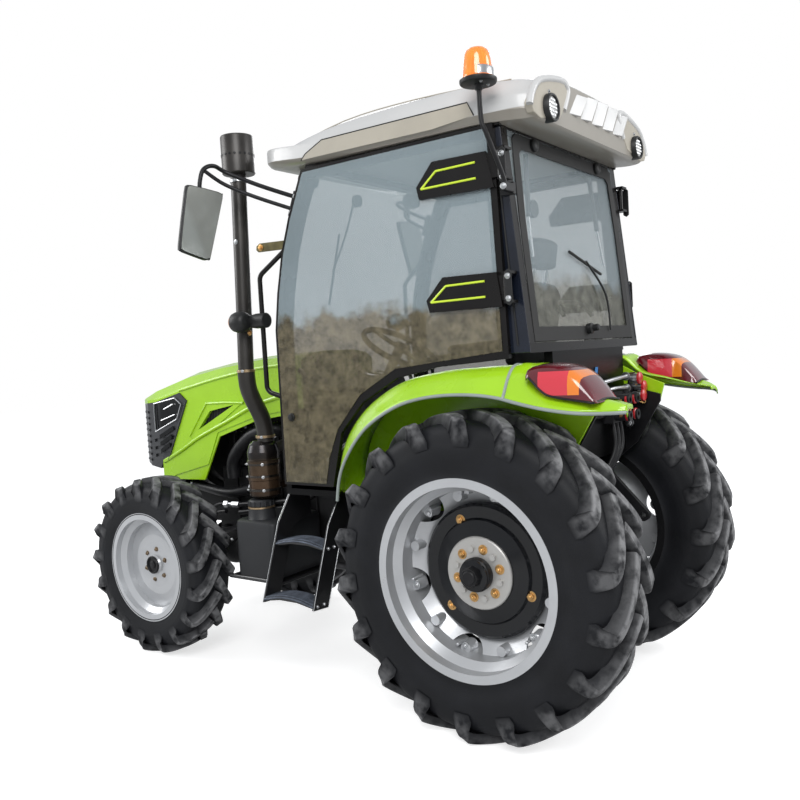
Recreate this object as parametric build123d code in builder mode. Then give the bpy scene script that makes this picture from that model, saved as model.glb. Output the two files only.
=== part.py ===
"""Compact four-wheel-drive farm tractor with a closed cab, made as separate pieces.

Millimetres. +X is forward, +Y is the driver's left, +Z is up. The origin is on the ground
under the middle of the whole machine. Each piece is written to parts/ under its own name.
"""
import os
from math import cos, radians, sin

from build123d import *

os.makedirs("parts", exist_ok=True)

# ---------------------------------------------------------------- driving dimensions
WHEELBASE = 1957
FRONT_REACH = 590           # front axle to the front of the weight bracket
MOVE_GAP = 6                # least room between pieces that move past each other
SEAT_GAP = 0.3              # play where one piece sits on another

REAR_TYRE_R = 620           # over the lugs
REAR_TYRE_W = 315
REAR_RIM_R = 381            # over the flange
REAR_RIM_W = 300
REAR_WHEEL_Y = 550          # wheel's centre plane
REAR_LUG_H = 32
REAR_LUGS = 18              # on each side of the tread
FRONT_TYRE_R = 450
FRONT_TYRE_W = 220
FRONT_RIM_R = 280
FRONT_RIM_W = 202
FRONT_WHEEL_Y = 538
FRONT_LUG_H = 26
FRONT_LUGS = 17
RIM_WALL = 8

KINGPIN_Y = 395
KINGPIN_R = 18
KINGPIN_FIT = 0.05          # running fit of kingpins, spindles and hinge pins
REAR_SPINDLE_R = 35
FRONT_SPINDLE_R = 28
STEER_ARM = 140             # kingpin to the track rod's pin

FRAME_HALF = 150            # half width of engine and front frame
CAB_SIDE_Y = 535            # outside of the cab posts
DOOR_T = 20
POST_T = 45
FENDER_IN_Y = 356
FENDER_OUT_Y = 662
FENDER_T = 22
BONNET_HALF = 280
BONNET_T = 14
GLASS_T = 6

# ---------------------------------------------------------------- places worked out from them
REAR_X = REAR_TYRE_R - (REAR_TYRE_R + WHEELBASE + FRONT_REACH) / 2
FRONT_X = REAR_X + WHEELBASE
REAR_AXLE = Axis((REAR_X, 0, REAR_TYRE_R), (0, 1, 0))
FRONT_AXLE = Axis((FRONT_X, 0, FRONT_TYRE_R), (0, 1, 0))
DOOR_IN_Y = CAB_SIDE_Y + MOVE_GAP
DOOR_OUT_Y = DOOR_IN_Y + DOOR_T
TYRE_TOP = 2 * REAR_TYRE_R


def keep(piece, node):
    """Label one finished piece and write it."""
    piece.label = node
    export_step(piece, f"parts/{node}.step")


def keep_both(left, node):
    """Write a left-hand piece and its mirror image."""
    keep(left, node + "_left")
    keep(mirror(left, about=Plane.XZ), node + "_right")


def side_view(y):
    """Plane seen from the right-hand side: its x is forward from the rear axle, its y is up."""
    return Plane(origin=(REAR_X, y, 0), x_dir=(1, 0, 0), z_dir=(0, -1, 0))


def side_slab(points, y_low, y_high, mode=Mode.ADD):
    """Plate whose outline is given in the side view, between two places across."""
    with BuildSketch(side_view(y_high)) as outline:
        with BuildLine():
            Polyline(*points, close=True)
        make_face()
    extrude(outline.sketch, amount=y_high - y_low, mode=mode)


def block(x, y, z, mode=Mode.ADD):
    """Rectangular block from (low, high) pairs, x counted from the rear axle."""
    middle = (REAR_X + sum(x) / 2, sum(y) / 2, sum(z) / 2)
    with Locations(middle):
        Box(x[1] - x[0], y[1] - y[0], z[1] - z[0], mode=mode)


def rod(start, end, radius, mode=Mode.ADD):
    """Round bar between two points, x counted from the rear axle."""
    low = Vector(start[0] + REAR_X, start[1], start[2])
    high = Vector(end[0] + REAR_X, end[1], end[2])
    run = high - low
    with BuildSketch(Plane(origin=low, z_dir=run)) as end_face:
        Circle(radius)
    extrude(end_face.sketch, amount=run.length, mode=mode)


def ring(axle, profile, mode=Mode.ADD):
    """Turned piece about an axle: profile is (radius, place across)."""
    with BuildSketch(Plane(axle.position)) as section:
        with BuildLine():
            Polyline(*profile, close=True)
        make_face()
    revolve(section.sketch, axis=axle, mode=mode)


def over_tyre(places, extra=0):
    """Side view points round the rear tyre: places are (room over the lugs, degrees up from level)."""
    return [((REAR_TYRE_R + room + extra) * cos(radians(turn)),
             REAR_TYRE_R + (REAR_TYRE_R + room + extra) * sin(radians(turn))) for room, turn in places]


# ---------------------------------------------------------------- wheels
def make_tyre(axle, radius, width, rim_r, rim_w, wheel_y, lug_h, lugs):
    """Tyre with slanted tractor lugs, one row on each side of the middle."""
    bead = rim_r - 25 + SEAT_GAP
    crown = radius - lug_h
    half = width / 2
    seat = rim_w / 2 - RIM_WALL - SEAT_GAP
    # columns: radius, place across from the centre plane
    half_section = [
        (bead, seat),
        (bead + 40, seat),
        (bead + 0.45 * (crown - bead), half),
        (crown - 42, half - 8),
        (crown - 12, half - 32),
        (crown, half * 0.35),
    ]
    inner = [
        (crown - 24, half * 0.35),
        (crown - 50, half - 34),
        (bead + 0.45 * (crown - bead), half - 16),
        (bead + 34, seat - 18),
        (bead, seat - 22),
    ]
    section = half_section + [(r, -y) for r, y in reversed(half_section)]
    section += [(r, -y) for r, y in reversed(inner)] + inner
    # columns: place across, shift along the tread, top radius, half length along the tread
    lug_sections = [
        (-0.05 * width, -0.10 * width, radius, 0.060 * width),
        (half - 6, 0.24 * width, radius - 20, 0.080 * width),
    ]
    with BuildPart() as lug:
        for across, shift, top, half_length in lug_sections:
            place = Plane(
                origin=(axle.position.X, wheel_y + across, axle.position.Z),
                x_dir=(1, 0, 0), z_dir=(0, -1, 0))
            with BuildSketch(place):
                with BuildLine():
                    Polyline(
                        (shift - 1.3 * half_length, crown - 44),
                        (shift + 1.3 * half_length, crown - 44),
                        (shift + half_length, top),
                        (shift - half_length, top),
                        close=True)
                make_face()
        loft(ruled=True)
    pitch = 360 / lugs
    across_mirror = Plane.XZ.offset(-wheel_y)
    other = mirror(lug.part, about=across_mirror)
    with BuildPart() as tyre:
        ring(axle, [(r, wheel_y + y) for r, y in section])
        for turn in range(lugs):
            add(lug.part.rotate(axle, turn * pitch))
            add(other.rotate(axle, (turn + 0.5) * pitch))
    return tyre.part


keep_both(make_tyre(REAR_AXLE, REAR_TYRE_R, REAR_TYRE_W, REAR_RIM_R, REAR_RIM_W,
                    REAR_WHEEL_Y, REAR_LUG_H, REAR_LUGS), "rear_tyre")
keep_both(make_tyre(FRONT_AXLE, FRONT_TYRE_R, FRONT_TYRE_W, FRONT_RIM_R, FRONT_RIM_W,
                    FRONT_WHEEL_Y, FRONT_LUG_H, FRONT_LUGS), "front_tyre")


def rim_barrel(axle, rim_r, rim_w, wheel_y):
    """Rolled rim: a flange and bead seat at each edge and a well between them."""
    half = rim_w / 2
    seat = rim_r - 25
    well = seat - 26
    outer = [(rim_r, half), (rim_r, half - RIM_WALL), (seat, half - RIM_WALL),
             (seat, half * 0.62), (well, half * 0.50)]
    inner = [(well - RIM_WALL, half * 0.50), (seat - RIM_WALL, half * 0.70),
             (seat - RIM_WALL, half)]
    profile = outer + [(r, -y) for r, y in reversed(outer)]
    profile += [(r, -y) for r, y in reversed(inner)] + inner
    ring(axle, [(r, wheel_y + y) for r, y in profile])


REAR_DISC_Y = 492           # outer face of the rear wheel's disc
REAR_HUB_FACE_Y = 470       # where the turning axle flange starts
REAR_WELL_R = REAR_RIM_R - 51 - RIM_WALL / 2
REAR_CLAMPS = 6
with BuildPart() as rear_disc:
    # dished disc, cut back between the clamps that hold the rim, flat at the hub
    ring(REAR_AXLE, [(REAR_WELL_R, 560), (REAR_WELL_R, 548), (245, REAR_DISC_Y - 12), (60, REAR_DISC_Y - 12),
                     (60, REAR_DISC_Y), (240, REAR_DISC_Y)])
    for turn in range(REAR_CLAMPS):
        gap_turn = radians((turn + 0.75) * 360 / REAR_CLAMPS)
        x, z = 352 * cos(gap_turn), REAR_TYRE_R + 352 * sin(gap_turn)
        rod((x, REAR_DISC_Y - 30, z), (x, 575, z), 78, mode=Mode.SUBTRACT)
with BuildPart() as rear_rim:
    rim_barrel(REAR_AXLE, REAR_RIM_R, REAR_RIM_W, REAR_WHEEL_Y)
    add(rear_disc.part)
    for turn in range(REAR_CLAMPS):
        clamp_turn = radians((turn + 0.25) * 360 / REAR_CLAMPS)
        x, z = 300 * cos(clamp_turn), REAR_TYRE_R + 300 * sin(clamp_turn)
        rod((x, 520, z), (x, 578, z), 20)
    ring(REAR_AXLE, [(0, REAR_HUB_FACE_Y), (115, REAR_HUB_FACE_Y), (115, REAR_DISC_Y - 12),
                     (60, REAR_DISC_Y - 12), (60, REAR_DISC_Y), (0, REAR_DISC_Y)])
    ring(REAR_AXLE, [(0, REAR_HUB_FACE_Y - 48), (REAR_SPINDLE_R, REAR_HUB_FACE_Y - 48),
                     (REAR_SPINDLE_R, REAR_HUB_FACE_Y + 1), (0, REAR_HUB_FACE_Y + 1)])
keep_both(rear_rim.part, "rear_rim")

WEIGHT_R = 262
HUB_PLATE_R = 140
HUB_PLATE_Y = 568
with BuildPart() as rear_weight:
    base = REAR_DISC_Y + SEAT_GAP
    ring(REAR_AXLE, [(0, base), (228, base), (WEIGHT_R, base + 20), (WEIGHT_R, 538), (250, 548), (206, 544),
                     (198, 556), (HUB_PLATE_R + 4, HUB_PLATE_Y), (60, HUB_PLATE_Y), (60, 622), (34, 626),
                     (34, 650), (0, 650)])
keep_both(rear_weight.part, "rear_weight")
with BuildPart() as rear_hub:
    base = HUB_PLATE_Y + SEAT_GAP
    ring(REAR_AXLE, [(60 + SEAT_GAP, base), (HUB_PLATE_R, base), (HUB_PLATE_R, base + 8),
                     (HUB_PLATE_R - 4, base + 12), (60 + SEAT_GAP, base + 12)])
    for turn in range(REAR_CLAMPS):
        bolt_turn = radians((turn + 0.25) * 360 / REAR_CLAMPS)
        x, z = 96 * cos(bolt_turn), REAR_TYRE_R + 96 * sin(bolt_turn)
        with BuildSketch(Plane(origin=(REAR_X + x, base + 11, z), z_dir=(0, 1, 0))) as bolt:
            RegularPolygon(13, 6)
        extrude(bolt.sketch, amount=12)
keep_both(rear_hub.part, "rear_hub")

FRONT_DISC_Y = 560
FRONT_HUB_FACE_Y = 484
FRONT_WELL_R = FRONT_RIM_R - 51 - RIM_WALL / 2
with BuildPart() as front_rim:
    rim_barrel(FRONT_AXLE, FRONT_RIM_R, FRONT_RIM_W, FRONT_WHEEL_Y)
    ring(FRONT_AXLE, [(FRONT_WELL_R, 556), (FRONT_WELL_R, 546), (150, FRONT_DISC_Y), (125, FRONT_DISC_Y - 8),
                      (125, FRONT_HUB_FACE_Y + 18), (95, FRONT_HUB_FACE_Y + 18), (95, FRONT_HUB_FACE_Y),
                      (0, FRONT_HUB_FACE_Y), (0, 590), (38, 590), (48, 575), (118, FRONT_DISC_Y + 10),
                      (155, FRONT_DISC_Y + 10)])
    ring(FRONT_AXLE, [(0, FRONT_HUB_FACE_Y - 26), (FRONT_SPINDLE_R, FRONT_HUB_FACE_Y - 26),
                      (FRONT_SPINDLE_R, FRONT_HUB_FACE_Y + 1), (0, FRONT_HUB_FACE_Y + 1)])
keep_both(front_rim.part, "front_rim")

# ---------------------------------------------------------------- front axle and steering
BEAM_END_R = 52
BEAM_END_H = 68             # half height of the axle beam's end boss
WB = WHEELBASE
AXLE_Z = FRONT_TYRE_R
STEER_Z = AXLE_Z + 115
STEER_ROD_R = 14
SHAFT_Z = 396               # front drive shaft
SHAFT_END = WB - 200
with BuildPart() as front_axle:
    rod((WB, -KINGPIN_Y, AXLE_Z), (WB, KINGPIN_Y, AXLE_Z), 48)
    with Locations((FRONT_X, 0, AXLE_Z)):
        Sphere(125)
    block((WB - 60, WB + 60), (-60, 60), (AXLE_Z + 90, 596))
    for side in (-1, 1):
        rod((WB, side * KINGPIN_Y, AXLE_Z - BEAM_END_H), (WB, side * KINGPIN_Y, AXLE_Z + BEAM_END_H),
            BEAM_END_R)
        rod((WB, side * KINGPIN_Y, AXLE_Z - BEAM_END_H), (WB, side * KINGPIN_Y, AXLE_Z + BEAM_END_H),
            KINGPIN_R + KINGPIN_FIT, mode=Mode.SUBTRACT)
    # pinion housing, and the steering cylinder carried above and behind the beam
    rod((SHAFT_END, 0, SHAFT_Z), (WB, 0, SHAFT_Z), 52)
    for side in (-1, 1):
        side_slab([(WB - STEER_ARM - 18, STEER_Z - 25), (WB - STEER_ARM - 18, STEER_Z + 20),
                   (WB - STEER_ARM + 20, STEER_Z + 25), (WB, AXLE_Z + 40), (WB - 20, AXLE_Z - 30)],
                  side * 95 - 10, side * 95 + 10)
    rod((WB - STEER_ARM, -125, STEER_Z), (WB - STEER_ARM, 125, STEER_Z), 30)
    rod((WB - STEER_ARM, -126, STEER_Z), (WB - STEER_ARM, 126, STEER_Z), STEER_ROD_R + KINGPIN_FIT,
        mode=Mode.SUBTRACT)
keep(front_axle.part, "front_axle")

ROD_PIN_Y = KINGPIN_Y - 10
with BuildPart() as steering_rod:
    rod((WB - STEER_ARM, -ROD_PIN_Y, STEER_Z), (WB - STEER_ARM, ROD_PIN_Y, STEER_Z), STEER_ROD_R)
    for side in (-1, 1):
        pin_x, pin_y = WB - STEER_ARM, side * ROD_PIN_Y
        rod((pin_x, pin_y, STEER_Z - 16), (pin_x, pin_y, STEER_Z + 16), 22)
keep(steering_rod.part, "steering_rod")

with BuildPart() as knuckle:
    inner = BEAM_END_R + MOVE_GAP
    high = AXLE_Z + BEAM_END_H + MOVE_GAP / 2
    low = AXLE_Z - BEAM_END_H - MOVE_GAP / 2
    rod((WB, KINGPIN_Y, low - 24), (WB, KINGPIN_Y, high + 24), KINGPIN_R)
    for z_low in (low - 24, high):
        rod((WB, KINGPIN_Y, z_low), (WB, KINGPIN_Y, z_low + 24), BEAM_END_R)
        block((WB - 45, WB + 45), (KINGPIN_Y, KINGPIN_Y + inner + 12), (z_low, z_low + 24))
    block((WB - 45, WB + 45), (KINGPIN_Y + inner, KINGPIN_Y + inner + 12), (low - 24, high + 24))
    rod((WB, KINGPIN_Y + inner + 2, AXLE_Z), (WB, FRONT_HUB_FACE_Y - MOVE_GAP, AXLE_Z), 92)
    rod((WB, KINGPIN_Y + inner - 2, AXLE_Z), (WB, FRONT_HUB_FACE_Y, AXLE_Z), FRONT_SPINDLE_R + KINGPIN_FIT,
        mode=Mode.SUBTRACT)
    # steering arm, level with the top plate, under the rod's eye
    block((WB - STEER_ARM, WB - 20), (ROD_PIN_Y - 18, ROD_PIN_Y + 18), (high, high + 24))
    rod((WB - STEER_ARM, ROD_PIN_Y, high), (WB - STEER_ARM, ROD_PIN_Y, high + 24), 22)
keep_both(knuckle.part, "knuckle")

# ---------------------------------------------------------------- front frame, engine, gearbox
ENGINE_REAR = 1158
ENGINE_FRONT = 1620
RAIL_TOP = 760
with BuildPart() as front_frame:
    for side in (-1, 1):
        block((ENGINE_FRONT + SEAT_GAP, WB + 560), sorted((side * (FRAME_HALF - 22), side * FRAME_HALF)),
              (600, RAIL_TOP))
    block((WB - 90, WB + 90), (-FRAME_HALF, FRAME_HALF), (600, 640))
    block((WB + 530, WB + FRONT_REACH), (-190, 190), (560, 770))
    block((WB + 540, WB + FRONT_REACH + 1), (-60, 60), (600, 680), mode=Mode.SUBTRACT)
    rod((WB + 562, 0, 550), (WB + 562, 0, 780), 13, mode=Mode.SUBTRACT)
keep(front_frame.part, "front_frame")

with BuildPart() as engine_block:
    block((ENGINE_REAR + SEAT_GAP, ENGINE_FRONT), (-FRAME_HALF, FRAME_HALF), (520, 900))
    block((1190, 1900), (-125, 125), (640, 900))
    block((1200, 1850), (-115, 115), (900, 1140))
    block((1190, 1600), (-110, 110), (450, 521))
keep(engine_block.part, "engine_block")

with BuildPart() as radiator:
    block((2090, 2160), (-235, 235), (RAIL_TOP + SEAT_GAP, 1230))
    block((2075, 2175), (-FRAME_HALF, FRAME_HALF), (RAIL_TOP + SEAT_GAP, 800))
keep(radiator.part, "radiator")

AXLE_CASE_FRONT = 338
BELL_TOP = 840
with BuildPart() as transmission:
    side_slab([(ENGINE_REAR, 470), (ENGINE_REAR, 840), (900, 825), (AXLE_CASE_FRONT + SEAT_GAP, 825),
               (AXLE_CASE_FRONT + SEAT_GAP, 430), (900, 430), (1060, 450)], -140, 140)
    block((960, ENGINE_REAR), (-190, 190), (500, BELL_TOP))
    block((360, 470), (-60, 60), (345, 431))
keep(transmission.part, "transmission")

CASE_BOTTOM = 420
LIFT_COVER_TOP = 930
LINK_PIN_X, LINK_PIN_Z = -135, 470
LINK_PIN_R = 14
TOP_PIN_R = 12.85
LIFT_SHAFT_X, LIFT_SHAFT_Z = -150, 890
LIFT_SHAFT_R = 24
with BuildPart() as rear_axle_housing:
    side_slab([(AXLE_CASE_FRONT, CASE_BOTTOM), (AXLE_CASE_FRONT, 850), (220, LIFT_COVER_TOP),
               (-170, LIFT_COVER_TOP), (-235, 860), (-235, CASE_BOTTOM)], -165, 165)
    rod((0, -REAR_HUB_FACE_Y + MOVE_GAP, REAR_TYRE_R), (0, REAR_HUB_FACE_Y - MOVE_GAP, REAR_TYRE_R), 82)
    for side in (-1, 1):
        rod((0, side * 164, REAR_TYRE_R), (0, side * 250, REAR_TYRE_R), 120)
        rod((0, side * 420, REAR_TYRE_R), (0, side * (REAR_HUB_FACE_Y - MOVE_GAP), REAR_TYRE_R), 112)
        rod((0, side * (REAR_HUB_FACE_Y - 50), REAR_TYRE_R), (0, side * REAR_HUB_FACE_Y, REAR_TYRE_R),
            REAR_SPINDLE_R + KINGPIN_FIT, mode=Mode.SUBTRACT)
    # top link bracket: two ears with a bore through them
    for side in (-1, 1):
        block((-300, -230), sorted((side * 27, side * 45)), (800, 900))
    rod((-275, -50, 850), (-275, 50, 850), TOP_PIN_R, mode=Mode.SUBTRACT)
    # studs for the lower links, and the bore of the lift shaft
    for side in (-1, 1):
        block((-175, -95), sorted((side * 164, side * 185)), (430, 520))
        rod((LINK_PIN_X, side * 184, LINK_PIN_Z), (LINK_PIN_X, side * 232, LINK_PIN_Z), LINK_PIN_R)
    rod((LIFT_SHAFT_X, -166, LIFT_SHAFT_Z), (LIFT_SHAFT_X, 166, LIFT_SHAFT_Z), LIFT_SHAFT_R + KINGPIN_FIT,
        mode=Mode.SUBTRACT)
keep(rear_axle_housing.part, "rear_axle_housing")

with BuildPart() as drive_shaft:
    rod((470 + SEAT_GAP, 0, SHAFT_Z), (SHAFT_END - SEAT_GAP, 0, SHAFT_Z), 30)
keep(drive_shaft.part, "drive_shaft")

# ---------------------------------------------------------------- tank, box, steps
TANK_IN_Y = 205
TANK_OUT_Y = 552
with BuildPart() as fuel_tank:
    block((1100, 1408), (TANK_IN_Y, TANK_OUT_Y), (448, 748))
    fillet(fuel_tank.edges().filter_by(Axis.Z), 24)
    rod((1290, 470, 747), (1290, 470, 800), 60)
    rod((1290, 470, 799), (1290, 470, 818), 52)
    block((1080, 1428), (FRAME_HALF + SEAT_GAP, TANK_OUT_Y - 4), (430, 449))
    block((1170, 1400), (FRAME_HALF + SEAT_GAP, FRAME_HALF + 12), (430, 620))
keep(fuel_tank.part, "fuel_tank")
with BuildPart() as side_box:
    block((1110, 1400), (-TANK_OUT_Y + 30, -TANK_IN_Y), (500, 760))
    fillet(side_box.edges().filter_by(Axis.Z), 16)
    block((1170, 1420), (-TANK_OUT_Y + 20, -FRAME_HALF - SEAT_GAP), (480, 501))
    block((1170, 1400), (-FRAME_HALF - 12, -FRAME_HALF - SEAT_GAP), (480, 640))
keep(side_box.part, "side_box")

STEP_FRONT = 1062
STEP_REAR = 760
with BuildPart() as step:
    # cheek plates, seen from the front: (place across, height)
    for x in (STEP_REAR, STEP_FRONT - 8):
        with BuildSketch(Plane(origin=(REAR_X + x, 0, 0), x_dir=(0, 1, 0), z_dir=(1, 0, 0))):
            with BuildLine():
                Polyline((345, 862), (470, 862), (560, 738), (686, 400), (590, 392), (470, 700), (345, 740),
                         close=True)
            make_face()
        extrude(amount=8)
    for y_range, z in (((596, 680), 404), ((508, 588), 634)):
        side_slab([(STEP_REAR + 2, z), (STEP_REAR + 2, z + 14), (STEP_REAR + 100, z + 34),
                   (STEP_FRONT - 100, z + 34), (STEP_FRONT - 2, z + 14), (STEP_FRONT - 2, z),
                   (STEP_FRONT - 100, z + 16), (STEP_REAR + 100, z + 16)],
                  *y_range)
keep_both(step.part, "step")

# ---------------------------------------------------------------- exhaust
PIPE_R = 38
CAN_X, CAN_Y = 1250, 440
STACK_X, STACK_Y = 1220, 500
CAN_LOW, CAN_HIGH = 820, 1092
STACK_FOOT = (CAN_X - 20, CAN_Y - 8)
with BuildPart() as exhaust_can:
    can_axis = Axis((REAR_X + CAN_X, CAN_Y, 0), (0, 0, 1))
    with BuildSketch(Plane(origin=(REAR_X + CAN_X, CAN_Y, 0), x_dir=(1, 0, 0), z_dir=(0, -1, 0))):
        with BuildLine():
            Polyline((0, CAN_LOW), (58, CAN_LOW), (75, CAN_LOW + 14), (75, 905), (79, 908), (79, 922),
                     (75, 925), (75, 985), (79, 988), (79, 1002), (75, 1005), (77, 1040), (66, 1074),
                     (46, CAN_HIGH), (0, CAN_HIGH), close=True)
        make_face()
    revolve(axis=can_axis)
    block((CAN_X - 20, CAN_X + 20), (FRAME_HALF + SEAT_GAP, CAN_Y - 60), (850, 880))
keep(exhaust_can.part, "exhaust_can")
with BuildPart() as exhaust_stack:
    with BuildLine() as route:
        FilletPolyline((REAR_X + STACK_FOOT[0], STACK_FOOT[1], CAN_HIGH + SEAT_GAP),
                       (REAR_X + STACK_FOOT[0], STACK_FOOT[1], 1230), (REAR_X + STACK_X, STACK_Y, 1430),
                       (REAR_X + STACK_X, STACK_Y, 2345), radius=90)
    with BuildSketch(Plane(origin=route.line @ 0, z_dir=route.line % 0)) as pipe_end:
        Circle(PIPE_R)
    sweep(pipe_end.sketch, path=route.line)
    rod((*STACK_FOOT, CAN_HIGH + SEAT_GAP), (*STACK_FOOT, 1112), PIPE_R + 8)
    rod((STACK_X, STACK_Y, 1470), (STACK_X, STACK_Y, 1484), PIPE_R + 4)
    rod((STACK_X, STACK_Y, 2330), (STACK_X, STACK_Y, 2505), 76)
    rod((STACK_X, STACK_Y, 2440), (STACK_X, STACK_Y, 2506), 70, mode=Mode.SUBTRACT)
keep(exhaust_stack.part, "exhaust_stack")

# ---------------------------------------------------------------- cab
FLOOR_Z = 890
ROOF_Z = 2305
FRAME_TOP = ROOF_Z - SEAT_GAP
# cab side seen from the right: (forward of the rear axle, height)
POST_FRONT = [(1004, 905), (1000, 1600), (975, 1760), (935, 1930), (880, 2080), (772, FRAME_TOP)]
HINGE_Z = (1680, 2120)
DOOR_HINGE_X, DOOR_HINGE_Y = -178, DOOR_OUT_Y + 12
# wheel arch: (room over the rear tyre's lugs, degrees up from level)
ARCH = [(136, 22.2), (205, 39.1), (206, 51.0), (191, 65.2), (165, 79.7), (166, 94.4), (206, 106.5)]
DECK_Z = 1010
WALL_TOP = 1240
TAIL_WALL_TOP = TYRE_TOP + 200
BONNET_PIN_X, BONNET_PIN_Z = 1135, 1470
BONNET_PIN_R = 8
with BuildPart() as cab_floor:
    tub = FENDER_IN_Y - SEAT_GAP
    side_slab([(985, FLOOR_Z - 28), (985, FLOOR_Z), (420, FLOOR_Z), (380, DECK_Z), (-205, DECK_Z),
               (-205, TAIL_WALL_TOP), (-240, TAIL_WALL_TOP), (-240, DECK_Z - 28), (360, DECK_Z - 28),
               (400, FLOOR_Z - 28)], -tub, tub)
    block((715, 985), (-CAB_SIDE_Y, CAB_SIDE_Y), (FLOOR_Z - 28, FLOOR_Z))
    block((985, 1015), (-CAB_SIDE_Y, CAB_SIDE_Y), (FLOOR_Z - 28, WALL_TOP))
    block((1014, 1060), (-200, 200), (FLOOR_Z - 28, WALL_TOP))
    for side in (-1, 1):
        block((965, 1012), sorted((side * 140, side * 185)), (BELL_TOP + SEAT_GAP, FLOOR_Z - 27))
        block((-150, -100), sorted((side * 100, side * 150)), (LIFT_COVER_TOP + SEAT_GAP, DECK_Z - 27))
        # posts that carry the bonnet's hinge
        side_slab([(1020, WALL_TOP - 1), (1060, WALL_TOP - 1), (BONNET_PIN_X + 9, BONNET_PIN_Z - 10),
                   (BONNET_PIN_X + 7, BONNET_PIN_Z + 4), (BONNET_PIN_X - 7, BONNET_PIN_Z + 4),
                   (BONNET_PIN_X - 11, BONNET_PIN_Z - 10)], side * 150 - 8, side * 150 + 8)
        rod((BONNET_PIN_X, side * 150, BONNET_PIN_Z), (BONNET_PIN_X, side * 182, BONNET_PIN_Z), BONNET_PIN_R)
keep(cab_floor.part, "cab_floor")

with BuildPart() as cab_frame:
    for side in (-1, 1):
        y_range = sorted((side * (CAB_SIDE_Y - POST_T), side * CAB_SIDE_Y))
        front = [(x, z) for x, z in POST_FRONT]
        front[0] = (1002, WALL_TOP + SEAT_GAP)
        back = [(x - 46, z) for x, z in reversed(front)]
        side_slab(front + back, *y_range)
        side_slab([(-240, TAIL_WALL_TOP + SEAT_GAP), (-160, FRAME_TOP), (-95, FRAME_TOP),
                   (-150, TAIL_WALL_TOP + SEAT_GAP)],
                  *y_range)
        block((-160, 740), y_range, (FRAME_TOP - 46, FRAME_TOP))
    block((726, 772), (-CAB_SIDE_Y, CAB_SIDE_Y), (FRAME_TOP - 46, FRAME_TOP))
    block((-160, -114), (-CAB_SIDE_Y, CAB_SIDE_Y), (FRAME_TOP - 46, FRAME_TOP))
    block((-240, -205), (-CAB_SIDE_Y, CAB_SIDE_Y), (TAIL_WALL_TOP + SEAT_GAP, 1475))
    for side in (-1, 1):
        for z in HINGE_Z:
            for z_low in (z - 57, z + 47):
                lug_y = sorted((side * (CAB_SIDE_Y - 1), side * (DOOR_HINGE_Y + 13)))
                block((-205, -170), lug_y, (z_low, z_low + 10))
            rod((DOOR_HINGE_X, side * DOOR_HINGE_Y, z - 57), (DOOR_HINGE_X, side * DOOR_HINGE_Y, z + 57), 6)
        # grab rail in front of the door
        with BuildLine() as bar:
            FilletPolyline((REAR_X + 890, side * 512, 1990), (REAR_X + 1075, side * 558, 1850),
                           (REAR_X + 1075, side * 558, 1330), (REAR_X + 980, side * 512, 1290), radius=40)
        with BuildSketch(Plane(origin=bar.line @ 0, z_dir=bar.line % 0)) as bar_end:
            Circle(11)
        sweep(bar_end.sketch, path=bar.line)
        # turn lamps on the rail
        rod((1060, side * 560, 1650), (1180, side * 584, 1650), 20)
        rod((1145, side * 587, 1650), (1215, side * 587, 1650), 36)
keep(cab_frame.part, "cab_frame")

with BuildPart() as cab_glass:
    inside = CAB_SIDE_Y - POST_T - SEAT_GAP
    front = [(x - 10, z) for x, z in POST_FRONT]
    front[0] = (990, WALL_TOP + SEAT_GAP)
    front[-1] = (785, FRAME_TOP - 47)
    back = [(x - GLASS_T, z) for x, z in reversed(front)]
    side_slab(front + back, -inside, inside)
    side_slab([(-232, 1475 + SEAT_GAP), (-166, 2254), (-160, 2254), (-226, 1475 + SEAT_GAP)], -inside, inside)
keep(cab_glass.part, "cab_glass")

# across the roof at each place: forward, half width, underside's edge, side edge, shoulder, crown
ROOF_SECTIONS = [
    (-300, 545, 2280, 2300, 2398, 2452), (-215, 578, 2277, 2300, 2424, 2478),
    (-60, 582, 2277, 2300, 2437, 2490), (220, 582, 2277, 2302, 2444, 2494),
    (577, 582, 2283, 2306, 2438, 2484), (760, 580, 2290, 2318, 2420, 2466),
    (930, 560, 2308, 2346, 2388, 2434), (1075, 430, 2340, 2358, 2382, 2400)]
LAMP_Y, LAMP_Z = 430, 2312
with BuildPart() as roof:
    sections = []
    for x, half, low, edge, shoulder, crown in ROOF_SECTIONS:
        with BuildSketch(Plane(origin=(REAR_X + x, 0, 0), x_dir=(0, 1, 0), z_dir=(1, 0, 0))) as section:
            with BuildLine():
                rim = [(half - 12, low), (half, edge), (half - 8, edge + 40 * (shoulder - edge) / 140),
                       (half - 80, shoulder), (half * 0.45, crown - 10)]
                Polyline(*rim, *[(-y, z) for y, z in reversed(rim)], close=True)
            make_face()
        sections.append(section.sketch)
    loft(sections, ruled=True)
    # flat seat on the cab frame and the open space inside the side skirts
    side_slab([(-301, 2260), (-301, ROOF_Z), (790, ROOF_Z), (1100, ROOF_Z), (1100, 2260)], -DOOR_OUT_Y - 4,
              DOOR_OUT_Y + 4, mode=Mode.SUBTRACT)
    for side in (-1, 1):
        # rear corner pod round each lamp
        side_slab([(-306, 2258), (-306, 2405), (-262, 2446), (-150, 2446), (-190, 2262)],
                  *sorted((side * 275, side * 572)))
        rod((-310, side * LAMP_Y, LAMP_Z), (-272, side * LAMP_Y, LAMP_Z), 56, mode=Mode.SUBTRACT)
    # louvre fins between the pods
    for place in range(5):
        y = (place - 2) * 104
        side_slab([(-325, 2318), (-325, 2382), (-230, 2462), (-180, 2462), (-180, 2318)], y - 16, y + 16)
    side_slab([(-190, ROOF_Z - 80), (-307, ROOF_Z - 80), (-307, 2258), (-242, 2262)], -600, 600,
              mode=Mode.SUBTRACT)
keep(roof.part, "roof")

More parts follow.
